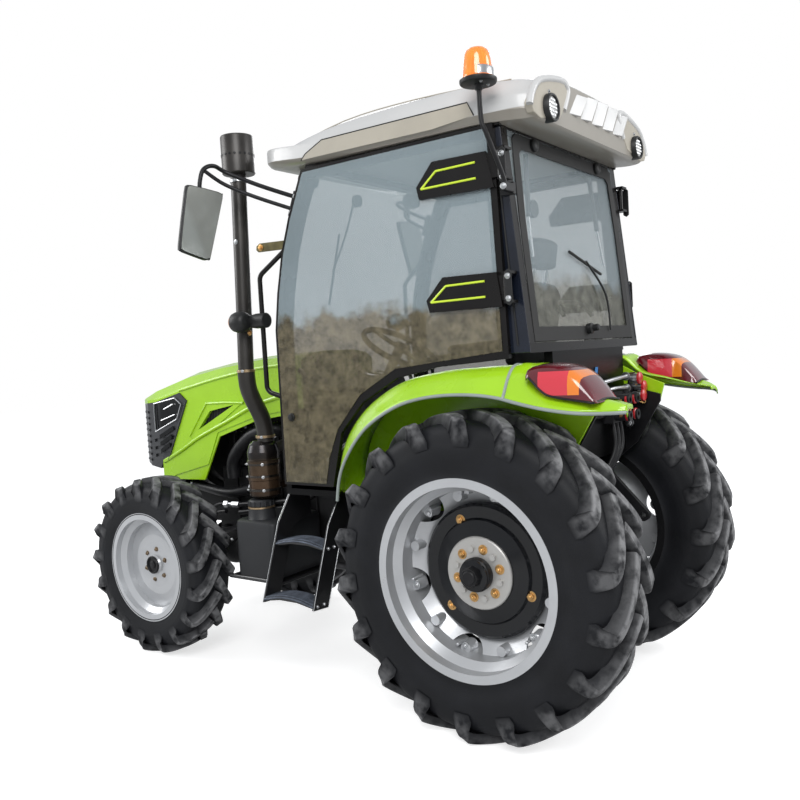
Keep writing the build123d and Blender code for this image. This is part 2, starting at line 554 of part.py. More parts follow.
# ---------------------------------------------------------------- doors
DOOR_ARCH = over_tyre(list(reversed(ARCH[1:-1])), 13)
DOOR_EDGE = [(1000, 912), (996, 1600), (971, 1760), (931, 1930), (876, 2080), (785, 2270),
             (-146, 2270), (-166, TAIL_WALL_TOP - 16)] + DOOR_ARCH + [(714, 912)]
PANE_ARCH = over_tyre(list(reversed(ARCH[1:-1])), 59)
DOOR_PANE = [(955, 958), (950, 1595), (927, 1745), (888, 1908), (834, 2053), (752, 2225),
             (-105, 2225), (-124, TAIL_WALL_TOP + 26)] + PANE_ARCH + [(750, 958)]
# plastic covers over the hinges: (forward of the rear axle, height)
HINGE_COVERS = [[(-150, 2040), (-120, 2172), (110, 2176), (186, 2092), (176, 2044)],
                [(-160, 1612), (-142, 1738), (90, 1742), (168, 1660), (156, 1614)]]
with BuildPart() as door:
    side_slab(DOOR_EDGE, DOOR_IN_Y, DOOR_OUT_Y)
    side_slab(DOOR_PANE, DOOR_IN_Y - 1, DOOR_OUT_Y + 1, mode=Mode.SUBTRACT)
    for z in HINGE_Z:
        block((DOOR_HINGE_X, -110), (DOOR_OUT_Y - 1, DOOR_OUT_Y + 12), (z - 45, z + 45))
        rod((DOOR_HINGE_X, DOOR_HINGE_Y, z - 45), (DOOR_HINGE_X, DOOR_HINGE_Y, z + 45), 12)
        rod((DOOR_HINGE_X, DOOR_HINGE_Y, z - 46), (DOOR_HINGE_X, DOOR_HINGE_Y, z + 46), 6 + KINGPIN_FIT,
            mode=Mode.SUBTRACT)
    for cover in HINGE_COVERS:
        side_slab(cover, DOOR_OUT_Y - 1, DOOR_OUT_Y + 18)
keep_both(door.part, "door")
with BuildPart() as door_glass:
    pane_low = DOOR_IN_Y + (DOOR_T - GLASS_T) / 2
    side_slab(DOOR_PANE, pane_low, pane_low + GLASS_T)
keep_both(door_glass.part, "door_glass")

# ---------------------------------------------------------------- fenders and lamps
# fender's outer edge: (room over the rear tyre's lugs, degrees up from level)
FENDER_EDGE = [(54, 26.0), (87, 38.7), (98, 52.2), (90, 67.8), (75, 83.2), (74, 97.6), (87, 109.5)]
LAMP_TOP = TYRE_TOP + 146
with BuildPart() as fender:
    top = over_tyre(ARCH, -14)
    under = over_tyre(reversed(ARCH), -14 - FENDER_T)
    side_slab(top + under, FENDER_IN_Y, CAB_SIDE_Y)
    # sloping flank out to the edge
    edge = over_tyre(FENDER_EDGE) + over_tyre(reversed(FENDER_EDGE), -FENDER_T)
    flanks = []
    for y, outline in ((CAB_SIDE_Y, top + under), (FENDER_OUT_Y, edge)):
        with BuildSketch(side_view(y)) as flank:
            with BuildLine():
                Polyline(*outline, close=True)
            make_face()
        flanks.append(flank.sketch)
    loft(flanks, ruled=True)
    # tail behind the cab and the inner wall
    side_slab([(-228, TYRE_TOP + 162), (-285, TYRE_TOP + 60), (-520, TYRE_TOP + 22), (-600, TYRE_TOP),
               (-596, TYRE_TOP - 24), (-235, TYRE_TOP + 30), (-228, TYRE_TOP + 139)], 430, FENDER_OUT_Y)
    side_slab(over_tyre(ARCH, -24) + [(-420, TYRE_TOP + 30), (-250, REAR_TYRE_R + 380),
                                      (0, REAR_TYRE_R + 200), (400, REAR_TYRE_R + 180)],
              FENDER_IN_Y, FENDER_IN_Y + 14)
keep_both(fender.part, "fender")

with BuildPart() as tail_lamps:
    for side in (-1, 1):
        y_range = sorted((side * 455, side * 640))
        side_slab([(-286, TYRE_TOP + 60 + SEAT_GAP), (-270, LAMP_TOP), (-340, LAMP_TOP - 2),
                   (-420, LAMP_TOP - 41),
                   (-520, TYRE_TOP + 22 + SEAT_GAP)], *y_range)
keep(tail_lamps.part, "tail_lamps")

# ---------------------------------------------------------------- bonnet and grille
# bonnet across at each place: forward, height of the side crease, height of the crown
BONNET_SECTIONS = [(1120, 1450, 1510), (1462, 1430, 1500), (1761, 1384, 1474), (2030, 1334, 1436),
                   (2300, 1272, 1366), (2506, 1214, 1276)]
NOSE_X = 2505
LAMP_PANEL = [(NOSE_X, 1256), (2250, 1275), (2030, 1325), (1970, 1280), (2155, 952), (2215, 940)]
SKIRT = [(2215, 842), (1877, 850), (1738, 1085), (1460, 1168), (1120, 1215)]
# half of the nose seen from above: (forward, across)
NOSE_PLAN = [(2215, BONNET_HALF), (2340, 262), (2440, 205), (2490, 110), (NOSE_X, 0)]
VENT = [(1600, 1254), (1790, 1222), (1892, 1120)]
VENT_BORDER = [(1524, 1272), (1816, 1268), (1967, 1086), (1925, 1066), (1740, 1145)]
BORDER_PROUD = 5


def bonnet_skin(shrink, bottom):
    """Bonnet's outside, or the same form a sheet's thickness further in."""
    sections = []
    for x, crease, crown in BONNET_SECTIONS:
        half = BONNET_HALF - shrink
        with BuildSketch(Plane(origin=(REAR_X + x, 0, 0), x_dir=(0, 1, 0), z_dir=(1, 0, 0))) as section:
            with BuildLine():
                rim = [(half, bottom), (half, crease - shrink), (half - 10, crease + 14 - shrink),
                       (half - 55, crown - 0.35 * (crown - crease) - shrink),
                       (half * 0.45, crown - 6 - shrink)]
                Polyline(*rim, *[(-y, z) for y, z in reversed(rim)], close=True)
            make_face()
        sections.append(section.sketch)
    return sections


with BuildPart() as bonnet:
    loft(bonnet_skin(0, 800), ruled=True)
    for side in (-1, 1):
        side_slab(VENT_BORDER, *sorted((side * (BONNET_HALF - 2), side * (BONNET_HALF + BORDER_PROUD))))
        # sheet stepped in along the lower edge
        side_slab([(2130, 830), (2118, 866), (1836, 935), (1745, 1108), (1450, 1192), (1100, 1240),
                   (1100, 830)], *sorted((side * (BONNET_HALF - 5), side * (BONNET_HALF + 1))),
                  mode=Mode.SUBTRACT)
    side_slab([(1100, 1600), (NOSE_X + 20, 1600), (NOSE_X + 20, 1256)] + LAMP_PANEL[1:] + SKIRT
              + [(1100, 1218)], -BONNET_HALF - 20, BONNET_HALF + 20, mode=Mode.INTERSECT)
    for side in (-1, 1):
        with BuildSketch(Plane.XY.offset(800)) as corner:
            with BuildLine():
                Polyline(*[(REAR_X + x, side * y) for x, y in NOSE_PLAN], (REAR_X + 2600, 0),
                         (REAR_X + 2600, side * (BONNET_HALF + 30)),
                         (REAR_X + 2215, side * (BONNET_HALF + 30)), close=True)
            make_face()
        extrude(corner.sketch, amount=800, mode=Mode.SUBTRACT)
    with BuildPart(mode=Mode.PRIVATE) as hollow:
        loft(bonnet_skin(BONNET_T, 790), ruled=True)
        side_slab([(1100, 780), (1100, 1600), (2390, 1600), (2390, 780)], -BONNET_HALF, BONNET_HALF,
                  mode=Mode.INTERSECT)
    add(hollow.part, mode=Mode.SUBTRACT)
    block((1100, 1125), (-BONNET_HALF + BONNET_T, BONNET_HALF - BONNET_T), (1200, 1440), mode=Mode.SUBTRACT)
    side_slab(VENT, -BONNET_HALF - 20, BONNET_HALF + 20, mode=Mode.SUBTRACT)
    for side in (-1, 1):
        side_slab([(1121, 1496), (1121, 1452), (1150, 1452), (1180, 1490)], side * 172 - 8, side * 172 + 8)
        rod((BONNET_PIN_X, side * 163, BONNET_PIN_Z), (BONNET_PIN_X, side * 183, BONNET_PIN_Z),
            BONNET_PIN_R + KINGPIN_FIT, mode=Mode.SUBTRACT)
keep(bonnet.part, "bonnet")
with BuildPart() as bonnet_vents:
    for side in (-1, 1):
        seat_y = BONNET_HALF - BONNET_T - SEAT_GAP
        low, high = sorted((side * (seat_y - 6), side * seat_y))
        side_slab([(1570, 1275), (1800, 1245), (1915, 1105), (1880, 1090), (1760, 1140)], low, high)
keep(bonnet_vents.part, "bonnet_vents")


def nose_band(depth_from, depth_to):
    """Upright band that follows the nose, between two depths inside its outline."""
    outer, inner = [
        [(REAR_X + 1960, BONNET_HALF - depth)]
        + [(REAR_X + x - depth * share, y - depth)
           for (x, y), share in zip(NOSE_PLAN[:-1], (0.1, 0.5, 0.9, 1.1))]
        for depth in (depth_from, depth_to)]
    with BuildSketch(Plane.XY.offset(880)) as plan:
        with BuildLine():
            Polyline(*outer, *[(x, -y) for x, y in reversed(outer)], *[(x, -y) for x, y in inner],
                     *reversed(inner), close=True)
        make_face()
    extrude(plan.sketch, amount=480)


# frame round each lamp, and the lens set in it (forward of the rear axle, height)
LAMP_SHAPE = [(2262, 1266), (2070, 1296), (2018, 1262), (2062, 1180), (2270, 1105)]
with BuildPart() as grille:
    nose_band(SEAT_GAP, 22)
    side_slab([(NOSE_X, 1256 - SEAT_GAP), (2250, 1275 - SEAT_GAP), (2030, 1325 - SEAT_GAP), (1971, 1280),
               (2156, 952 + SEAT_GAP), (2215 + SEAT_GAP, 940 + SEAT_GAP), (2240, 900), (NOSE_X, 930)],
              -BONNET_HALF, BONNET_HALF, mode=Mode.INTERSECT)
    with BuildPart(mode=Mode.PRIVATE) as lamp_seat:
        nose_band(-4, 12)
        side_slab(LAMP_SHAPE, -BONNET_HALF - 6, BONNET_HALF + 6, mode=Mode.INTERSECT)
        block((2275, 2600), (-300, 300), (800, 1500), mode=Mode.SUBTRACT)
    add(lamp_seat.part, mode=Mode.SUBTRACT)
    # slats under the lamps
    for low in (1066, 1022, 980):
        with BuildPart(mode=Mode.PRIVATE) as slot:
            nose_band(-4, 9)
            side_slab([(2060 + (1066 - low) * 0.55, low + 26), (2290, low), (2290, low - 18),
                       (2070 + (1066 - low) * 0.55, low + 6)],
                      -BONNET_HALF - 6, BONNET_HALF + 6, mode=Mode.INTERSECT)
        add(slot.part, mode=Mode.SUBTRACT)
keep(grille.part, "grille")
with BuildPart() as headlamps:
    nose_band(3, 12 - SEAT_GAP)
    side_slab(LAMP_SHAPE, -BONNET_HALF - 6, BONNET_HALF + 6, mode=Mode.INTERSECT)
    block((2275 - SEAT_GAP, 2600), (-300, 300), (800, 1500), mode=Mode.SUBTRACT)
keep(headlamps.part, "headlamps")

# ---------------------------------------------------------------- inside the cab
with BuildPart() as cab_interior:
    side_slab([(790, FLOOR_Z + SEAT_GAP), (984, FLOOR_Z + SEAT_GAP), (960, 1330), (860, 1370),
               (810, 1250)], -190, 190)
    rod((850, 0, 1300), (728, 0, 1492), 24)
    with Locations(Location((REAR_X + 728, 0, 1492), (0, -32.5, 0))):
        Torus(185, 14)
    with Locations(Location((REAR_X + 728, 0, 1492), (0, -32.5, 0))):
        Box(370, 30, 12)
    block((20, 360), (-150, 150), (DECK_Z + SEAT_GAP, 1210))
keep(cab_interior.part, "cab_interior")
with BuildPart() as seat:
    block((-20, 440), (-235, 235), (1210 + SEAT_GAP, 1320))
    side_slab([(-20, 1300), (70, 1320), (20, 1760), (-60, 1760)], -220, 220)
    block((-80, 0), (-130, 130), (1770, 1930))
    block((-60, -20), (-40, 40), (1740, 1790))
keep(seat.part, "seat")

# ---------------------------------------------------------------- mirrors, rail, beacon, work lamps
with BuildPart() as mirror_arm:
    side_slab([(880.5, 2080), (905, 2090), (856, 2190), (832.3, 2180)], 495, 530)
    for foot, bend in ((2165, 2325), (2105, 2250)):
        rod((872, 512, foot), (1165, 640, bend), 10)
    rod((1165, 640, 2240), (1165, 640, 2335), 10)
    rod((1165, 640, 2330), (1170, 800, 2290), 10)
    rod((1170, 800, 2290), (1172, 815, 2150), 10)
    # head seen from the front: its top leans in
    with BuildSketch(Plane(origin=(REAR_X + 1160, 0, 0), x_dir=(0, 1, 0), z_dir=(1, 0, 0))) as head:
        with BuildLine():
            FilletPolyline((690, 1905), (925, 1912), (925, 2080), (900, 2235), (700, 2235), (690, 2080),
                           radius=38, close=True)
        make_face()
    extrude(head.sketch, amount=34)
keep_both(mirror_arm.part, "mirror")

BEACON_X, BEACON_Y = -156, 662
with BuildPart() as beacon:
    block((-215, -162), (CAB_SIDE_Y + SEAT_GAP, 555), (2010, 2050))
    block((-215, -190), (554, 612), (2010, 2050))
    rod((-204, 602, 2030), (BEACON_X - 6, BEACON_Y - 4, 2240), 9)
    rod((BEACON_X - 6, BEACON_Y - 4, 2236), (BEACON_X + 4, BEACON_Y - 4, 2390), 9)
    beacon_side = Plane(origin=(REAR_X + BEACON_X, BEACON_Y, 0), x_dir=(1, 0, 0), z_dir=(0, -1, 0))
    with BuildSketch(beacon_side) as dome:
        with BuildLine():
            Polyline((0, 2380), (62, 2380), (66, 2386), (66, 2396), (54, 2400), (47, 2480), (38, 2498),
                     (20, 2505),
                     (0, 2505), close=True)
        make_face()
    revolve(dome.sketch, axis=Axis((REAR_X + BEACON_X, BEACON_Y, 0), (0, 0, 1)))
keep(beacon.part, "beacon")

with BuildPart() as work_lamps:
    for side in (-1, 1):
        rod((-304, side * LAMP_Y, LAMP_Z), (-272 - SEAT_GAP, side * LAMP_Y, LAMP_Z), 50)
        rod((860, side * 400, 2262), (915, side * 400, 2262), 40)
        side_slab([(870, 2280), (905, 2280), (905, ROOF_Z - SEAT_GAP), (870, ROOF_Z - SEAT_GAP)],
                  side * 400 - 20, side * 400 + 20)
keep(work_lamps.part, "work_lamps")

# ---------------------------------------------------------------- lift arms, drawbar, shaft, couplers
ARM_TIP = (-350, 235, 712)
ARM_EYE_R = 12.85
with BuildPart() as lift_arms:
    rod((LIFT_SHAFT_X, -250, LIFT_SHAFT_Z), (LIFT_SHAFT_X, 250, LIFT_SHAFT_Z), LIFT_SHAFT_R)
    for side in (-1, 1):
        rod((LIFT_SHAFT_X, side * 220, LIFT_SHAFT_Z), (LIFT_SHAFT_X, side * 250, LIFT_SHAFT_Z), 42)
        side_slab([(LIFT_SHAFT_X - 24, LIFT_SHAFT_Z - 30), (LIFT_SHAFT_X + 10, LIFT_SHAFT_Z + 34),
                   (LIFT_SHAFT_X - 60, LIFT_SHAFT_Z + 10), (ARM_TIP[0] - 22, ARM_TIP[2] + 14),
                   (ARM_TIP[0] + 10, ARM_TIP[2] - 22)],
                  side * 235 - 13, side * 235 + 13)
        rod((ARM_TIP[0], side * 222, ARM_TIP[2]), (ARM_TIP[0], side * 248, ARM_TIP[2]), 27)
        rod((ARM_TIP[0], side * 220, ARM_TIP[2]), (ARM_TIP[0], side * 250, ARM_TIP[2]), ARM_EYE_R,
            mode=Mode.SUBTRACT)
keep(lift_arms.part, "lift_arms")
with BuildPart() as drawbar:
    block((-340, -60), (-32, 32), (366, 396))
    block((-200, -80), (-70, 70), (395, CASE_BOTTOM - SEAT_GAP))
    rod((-308, 0, 360), (-308, 0, 400), 13, mode=Mode.SUBTRACT)
keep(drawbar.part, "drawbar")
with BuildPart() as pto_shaft:
    rod((-320, 0, 560), (-235 - SEAT_GAP, 0, 560), 17.5)
    side_slab([(-330, 650), (-235 - SEAT_GAP, 650), (-235 - SEAT_GAP, 640), (-330, 640)], -90, 90)
    rod((-245, 0, 560), (-235 - SEAT_GAP, 0, 560), 60)
keep(pto_shaft.part, "pto_shaft")
with BuildPart() as remote_couplers:
    block((-285, -240 - SEAT_GAP), (-260, -100), (1120, 1250))
    for y in (-225, -135):
        for z in (1150, 1220):
            rod((-350, y, z), (-284, y, z), 22)
keep(remote_couplers.part, "remote_couplers")
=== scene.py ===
"""Looks of a compact four-wheel-drive farm tractor with a closed cab.

Metres. +X is forward, +Y is the driver's left, +Z is up, and the ground is at zero.
"""

import math

import bmesh
import bpy
from mathutils import Matrix, Vector


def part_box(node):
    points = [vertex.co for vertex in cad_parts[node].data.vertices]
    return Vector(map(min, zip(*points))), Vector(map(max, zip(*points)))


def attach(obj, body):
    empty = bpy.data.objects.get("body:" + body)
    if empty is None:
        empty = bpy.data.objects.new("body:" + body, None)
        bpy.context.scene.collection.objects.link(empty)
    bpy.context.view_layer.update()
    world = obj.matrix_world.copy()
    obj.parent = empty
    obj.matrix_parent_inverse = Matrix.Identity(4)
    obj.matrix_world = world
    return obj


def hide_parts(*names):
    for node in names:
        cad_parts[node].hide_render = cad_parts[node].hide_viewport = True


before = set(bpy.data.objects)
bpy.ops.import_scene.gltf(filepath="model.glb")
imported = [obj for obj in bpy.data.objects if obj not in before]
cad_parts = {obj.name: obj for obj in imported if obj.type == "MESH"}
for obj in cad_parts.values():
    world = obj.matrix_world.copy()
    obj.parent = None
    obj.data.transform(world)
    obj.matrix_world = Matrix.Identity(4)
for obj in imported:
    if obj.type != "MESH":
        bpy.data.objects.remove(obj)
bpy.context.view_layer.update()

# ---------------------------------------------------------------- ground, light and camera
# A plain pale floor under soft studio lamps. The camera stands behind the tractor's left rear
# wheel, at head height, and looks along the machine towards its nose.
scene = bpy.context.scene
scene.view_settings.view_transform = "Standard"
rear_low, rear_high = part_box("rear_tyre_left")
front_low, front_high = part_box("front_tyre_left")
REAR_X = (rear_low.x + rear_high.x) / 2
REAR_R = (rear_high.x - rear_low.x) / 2
REAR_Y = (rear_low.y + rear_high.y) / 2
FRONT_X = (front_low.x + front_high.x) / 2
FRONT_R = (front_high.x - front_low.x) / 2
FRONT_Y = (front_low.y + front_high.y) / 2

CAMERA_PLACE = (REAR_X - 1.609, 3.213, 1.461)
CAMERA_TURN, CAMERA_DIP, CAMERA_ROLL = (math.radians(a) for a in (-53.775, -3.135, -3.363))
camera_data = bpy.data.cameras.new("camera")
camera_data.sensor_width = 36
camera_data.lens = 37.125
camera = bpy.data.objects.new("camera", camera_data)
scene.collection.objects.link(camera)
sight = Vector((math.cos(CAMERA_TURN) * math.cos(CAMERA_DIP), math.sin(CAMERA_TURN) * math.cos(CAMERA_DIP),
    math.sin(CAMERA_DIP)))
level = sight.cross(Vector((0, 0, 1))).normalized()
above = level.cross(sight)
across = math.cos(CAMERA_ROLL) * level + math.sin(CAMERA_ROLL) * above
upward = -math.sin(CAMERA_ROLL) * level + math.cos(CAMERA_ROLL) * above
camera.matrix_world = Matrix.Translation(CAMERA_PLACE) @ Matrix((across, upward, -sight)).transposed().to_4x4()
scene.camera = camera

FLOOR_HALF = 30
floor_mesh = bpy.data.meshes.new("floor")
floor_mesh.from_pydata([(-FLOOR_HALF, -FLOOR_HALF, 0), (FLOOR_HALF, -FLOOR_HALF, 0), (FLOOR_HALF, FLOOR_HALF, 0),
    (-FLOOR_HALF, FLOOR_HALF, 0)], [], [(0, 1, 2, 3)])
floor = bpy.data.objects.new("floor", floor_mesh)
scene.collection.objects.link(floor)


def plug(node, **sockets):
    """Fills a shader node's sockets, by name or by number as in _0, with a value or another node's output."""
    for key, value in sockets.items():
        socket = node.inputs[int(key[1:]) if key[0] == "_" else key.replace("_", " ")]
        if isinstance(value, bpy.types.NodeSocket):
            node.id_data.links.new(value, socket)
        else:
            socket.default_value = value


def add(tree, kind, out=0, settings=(), **sockets):
    """Adds a shader node and gives back one of its outputs."""
    node = tree.nodes.new("ShaderNode" + kind)
    for key, value in dict(settings).items():
        setattr(node, key, value)
    plug(node, **sockets)
    return node.outputs[out] if len(node.outputs) else None


def maths(tree, operation, *terms):
    """Sum, product or test of some values."""
    return add(tree, "Math", 0, {"operation": operation}, **{"_%d" % n: term for n, term in enumerate(terms)})


def where_seen(tree, plain, seen):
    """One shader for what the camera sees, through glass too, and another for the rest."""
    rays = [add(tree, "LightPath", kind) for kind in ("Is Camera Ray", "Is Transmission Ray")]
    return add(tree, "MixShader", _0=maths(tree, "MAXIMUM", *rays), _1=plain, _2=seen)


WHITE = (1, 1, 1, 1)
# matt pale floor, lifted towards white where it is seen
floor_finish = bpy.data.materials.new("pale_floor")
floor_finish.use_nodes = True
floor_tree = floor_finish.node_tree
floor_tree.nodes.clear()
matt = add(floor_tree, "BsdfDiffuse", Color=(0.6, 0.6, 0.6, 1))
lift = add(floor_tree, "Emission", Color=WHITE, Strength=0.67)
add(floor_tree, "OutputMaterial", Surface=where_seen(floor_tree, matt, add(floor_tree, "AddShader", _0=matt, _1=lift)))
floor_mesh.materials.append(floor_finish)

world = bpy.data.worlds.new("studio")
world.use_nodes = True
scene.world = world
sky_tree = world.node_tree
sky_tree.nodes.clear()
soft_sky = add(sky_tree, "Background", Color=(0.93, 0.96, 1, 1), Strength=0.62)
white_sky = add(sky_tree, "Background", Color=WHITE, Strength=1)
add(sky_tree, "OutputWorld", Surface=where_seen(sky_tree, soft_sky, white_sky))


def studio_lamp(name, place, power, size=4, aim=(0, 0, 1)):
    """Large soft lamp that faces a point."""
    data = bpy.data.lights.new(name, "AREA")
    data.shape = "DISK"
    data.size = size
    data.energy = power
    lamp = bpy.data.objects.new(name, data)
    scene.collection.objects.link(lamp)
    lamp.location = place
    lamp.rotation_mode = "QUATERNION"
    lamp.rotation_quaternion = (Vector(aim) - Vector(place)).to_track_quat("-Z", "Y")


studio_lamp("key_lamp", (-3.5, 5.5, 5.5), 330)
studio_lamp("rear_lamp", (-6, -3, 4), 210)
studio_lamp("nose_lamp", (6, 3, 4), 210)
studio_lamp("far_lamp", (3, -6, 4), 180)

# ---------------------------------------------------------------- tyres
# Cross-ply farm tyres moulded in black rubber, with long slanted lugs that run from the middle of
# the tread down the shoulder. The lugs' faces are scuffed grey, the walls carry plain raised rings.
SIDES = ((1, "left"), (-1, "right"))


def ramp(tree, stops, place, blend="LINEAR"):
    """Colours by their place from 0 to 1."""
    node = tree.nodes.new("ShaderNodeValToRGB")
    node.color_ramp.interpolation = blend
    elements = node.color_ramp.elements
    while len(elements) < len(stops):
        elements.new(0.5)
    for element, (position, colour) in zip(elements, stops):
        element.position, element.color = position, (*colour, 1)
    plug(node, Fac=place)
    return node.outputs["Color"]


def mixed(tree, share, first, second):
    """Two colours mixed by a share from 0 to 1."""
    return add(tree, "Mix", "Result", {"data_type": "RGBA"}, Factor=share, A=first, B=second)


def ranged(tree, value, low=0, high=1, to_low=0, to_high=1):
    """A value stretched from one range to another, and kept inside it."""
    return add(tree, "MapRange", "Result", Value=value, From_Min=low, From_Max=high, To_Min=to_low, To_Max=to_high)


def part_of(tree, vector, axis):
    """One of a vector's three parts."""
    return add(tree, "SeparateXYZ", axis, Vector=vector)


def new_finish(name):
    """Empty finish with its node tree and shader, and the place on the piece that its patterns follow."""
    finish = bpy.data.materials.new(name)
    finish.use_nodes = True
    tree = finish.node_tree
    return finish, tree, tree.nodes["Principled BSDF"], add(tree, "TexCoord", "Object")


def surface(name, base, rough, metal=0.0, coat=0.0, blotch=0.08, blotch_size=6.0, grain=0.02, grain_size=400.0,
        dust=0.0, shine=0.5):
    """Solid finish: colour that varies a little in broad patches, fine grain, and dust on its upper sides."""
    finish, tree, shader, spot = new_finish(name)
    patches = add(tree, "TexNoise", "Fac", Scale=blotch_size, Detail=6, Vector=spot)
    colour = ramp(tree, [(0.3, [c * (1 - blotch) for c in base]), (0.7, [min(1, c * (1 + blotch)) for c in base])],
        patches)
    fine = add(tree, "TexNoise", "Fac", Scale=grain_size, Detail=3, Vector=spot)
    if dust:
        upper = ranged(tree, part_of(tree, add(tree, "NewGeometry", "Normal"), "Z"), 0.1, 1, 0, dust)
        colour = mixed(tree, maths(tree, "MULTIPLY", upper, patches), colour, (0.3, 0.29, 0.27, 1))
    plug(shader, Base_Color=colour, Metallic=metal, Coat_Weight=coat, Coat_Roughness=0.08, Specular_IOR_Level=shine,
        Roughness=ranged(tree, patches, 0, 1, max(0.03, rough - 0.07), min(1, rough + 0.09)),
        Normal=add(tree, "Bump", "Normal", Strength=grain, Distance=0.002, Height=fine))
    return finish


def layers(finish):
    """A finish's node tree, its shader, the place on the piece, and the colour it has so far."""
    nodes = finish.node_tree.nodes
    shader = nodes["Principled BSDF"]
    spot = nodes["Texture Coordinate"].outputs["Object"]
    return finish.node_tree, shader, spot, shader.inputs["Base Color"].links[0].from_socket


def worn_rubber(name, base, worn):
    """Black rubber, scuffed to grey where the mesh says that it is rubbed."""
    finish = surface(name, base, 0.55, blotch=0.3, blotch_size=7, grain=0.3, grain_size=240, shine=0.25)
    tree, shader, spot, plain = layers(finish)
    rubbed = add(tree, "VertexColor", "Color", {"layer_name": "rubbed"})
    scuffs = ranged(tree, add(tree, "TexNoise", "Fac", Scale=22, Detail=8, Vector=spot), 0.34, 0.6)
    plug(shader, Base_Color=mixed(tree, maths(tree, "MULTIPLY", rubbed, scuffs), plain, (*worn, 1)))
    return finish


def put(name, points, faces, finish, body="chassis", soften=0.0, sharp=35, rubbed=None):
    """One piece from points and faces: smooth but for its sharp edges, which may be softened."""
    mesh = bpy.data.meshes.new(name)
    mesh.from_pydata([tuple(p) for p in points], [], faces)
    if rubbed:
        layer = mesh.color_attributes.new("rubbed", "FLOAT_COLOR", "POINT")
        for i, value in enumerate(rubbed):
            layer.data[i].color = (value, value, value, 1)
    work = bmesh.new()
    work.from_mesh(mesh)
    if not rubbed:
        bmesh.ops.remove_doubles(work, verts=work.verts, dist=1e-6)
    bmesh.ops.recalc_face_normals(work, faces=work.faces)
    work.to_mesh(mesh)
    work.free()
    mesh.materials.append(finish)
    mesh.shade_smooth()
    mesh.set_sharp_from_angle(angle=math.radians(sharp))
    made = bpy.data.objects.new(name, mesh)
    scene.collection.objects.link(made)
    if soften:
        edge = made.modifiers.new("edge", "BEVEL")
        edge.width = soften
        edge.segments = 2
        edge.limit_method = "ANGLE"
        edge.angle_limit = math.radians(sharp)
        edge.harden_normals = True
    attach(made, body)
    return made


def tube_faces(rings, sides, start=0, caps=True):
    """Faces round a stack of rings of points, and the two that close its ends."""
    faces = [(start + i * sides + k, start + i * sides + (k + 1) % sides, start + (i + 1) * sides + (k + 1) % sides,
        start + (i + 1) * sides + k) for i in range(rings - 1) for k in range(sides)]
    if caps:
        faces += [tuple(start + k for k in range(sides)), tuple(start + (rings - 1) * sides + k for k in range(sides))]
    return faces


def row_faces(rows, wide):
    """Faces of a sheet between rows of points."""
    return [(i * wide + j, i * wide + j + 1, (i + 1) * wide + j + 1, (i + 1) * wide + j) for i in range(rows - 1)
        for j in range(wide - 1)]


def turned(profile, centre, steps):
    """Points and faces of a ring turned about the wheel axle: profile is (radius, place across)."""
    points = [(centre[0] + radius * math.sin(turn), y, centre[1] + radius * math.cos(turn))
        for turn in (2 * math.pi * k / steps for k in range(steps)) for radius, y in profile]
    faces = []
    count = len(profile)
    for k in range(steps):
        far = ((k + 1) % steps) * count
        for i in range(count):
            faces.append((k * count + i, k * count + (i + 1) % count, far + (i + 1) % count, far + i))
    return points, faces


def bent(stops, steps):
    """Smooth run through the stops, Catmull-Rom, with that many steps between two of them."""
    run = []
    ends = [stops[0]] + list(stops) + [stops[-1]]
    for a, b, c, d in zip(ends, ends[1:], ends[2:], ends[3:]):
        for k in range(steps):
            t = k / steps
            run.append(tuple(0.5 * (2 * q + (r - p) * t + (2 * p - 5 * q + 4 * r - s) * t * t
                + (3 * q - p - 3 * r + s) * t ** 3) for p, q, r, s in zip(a, b, c, d)))
    run.append(tuple(stops[-1]))
    return run


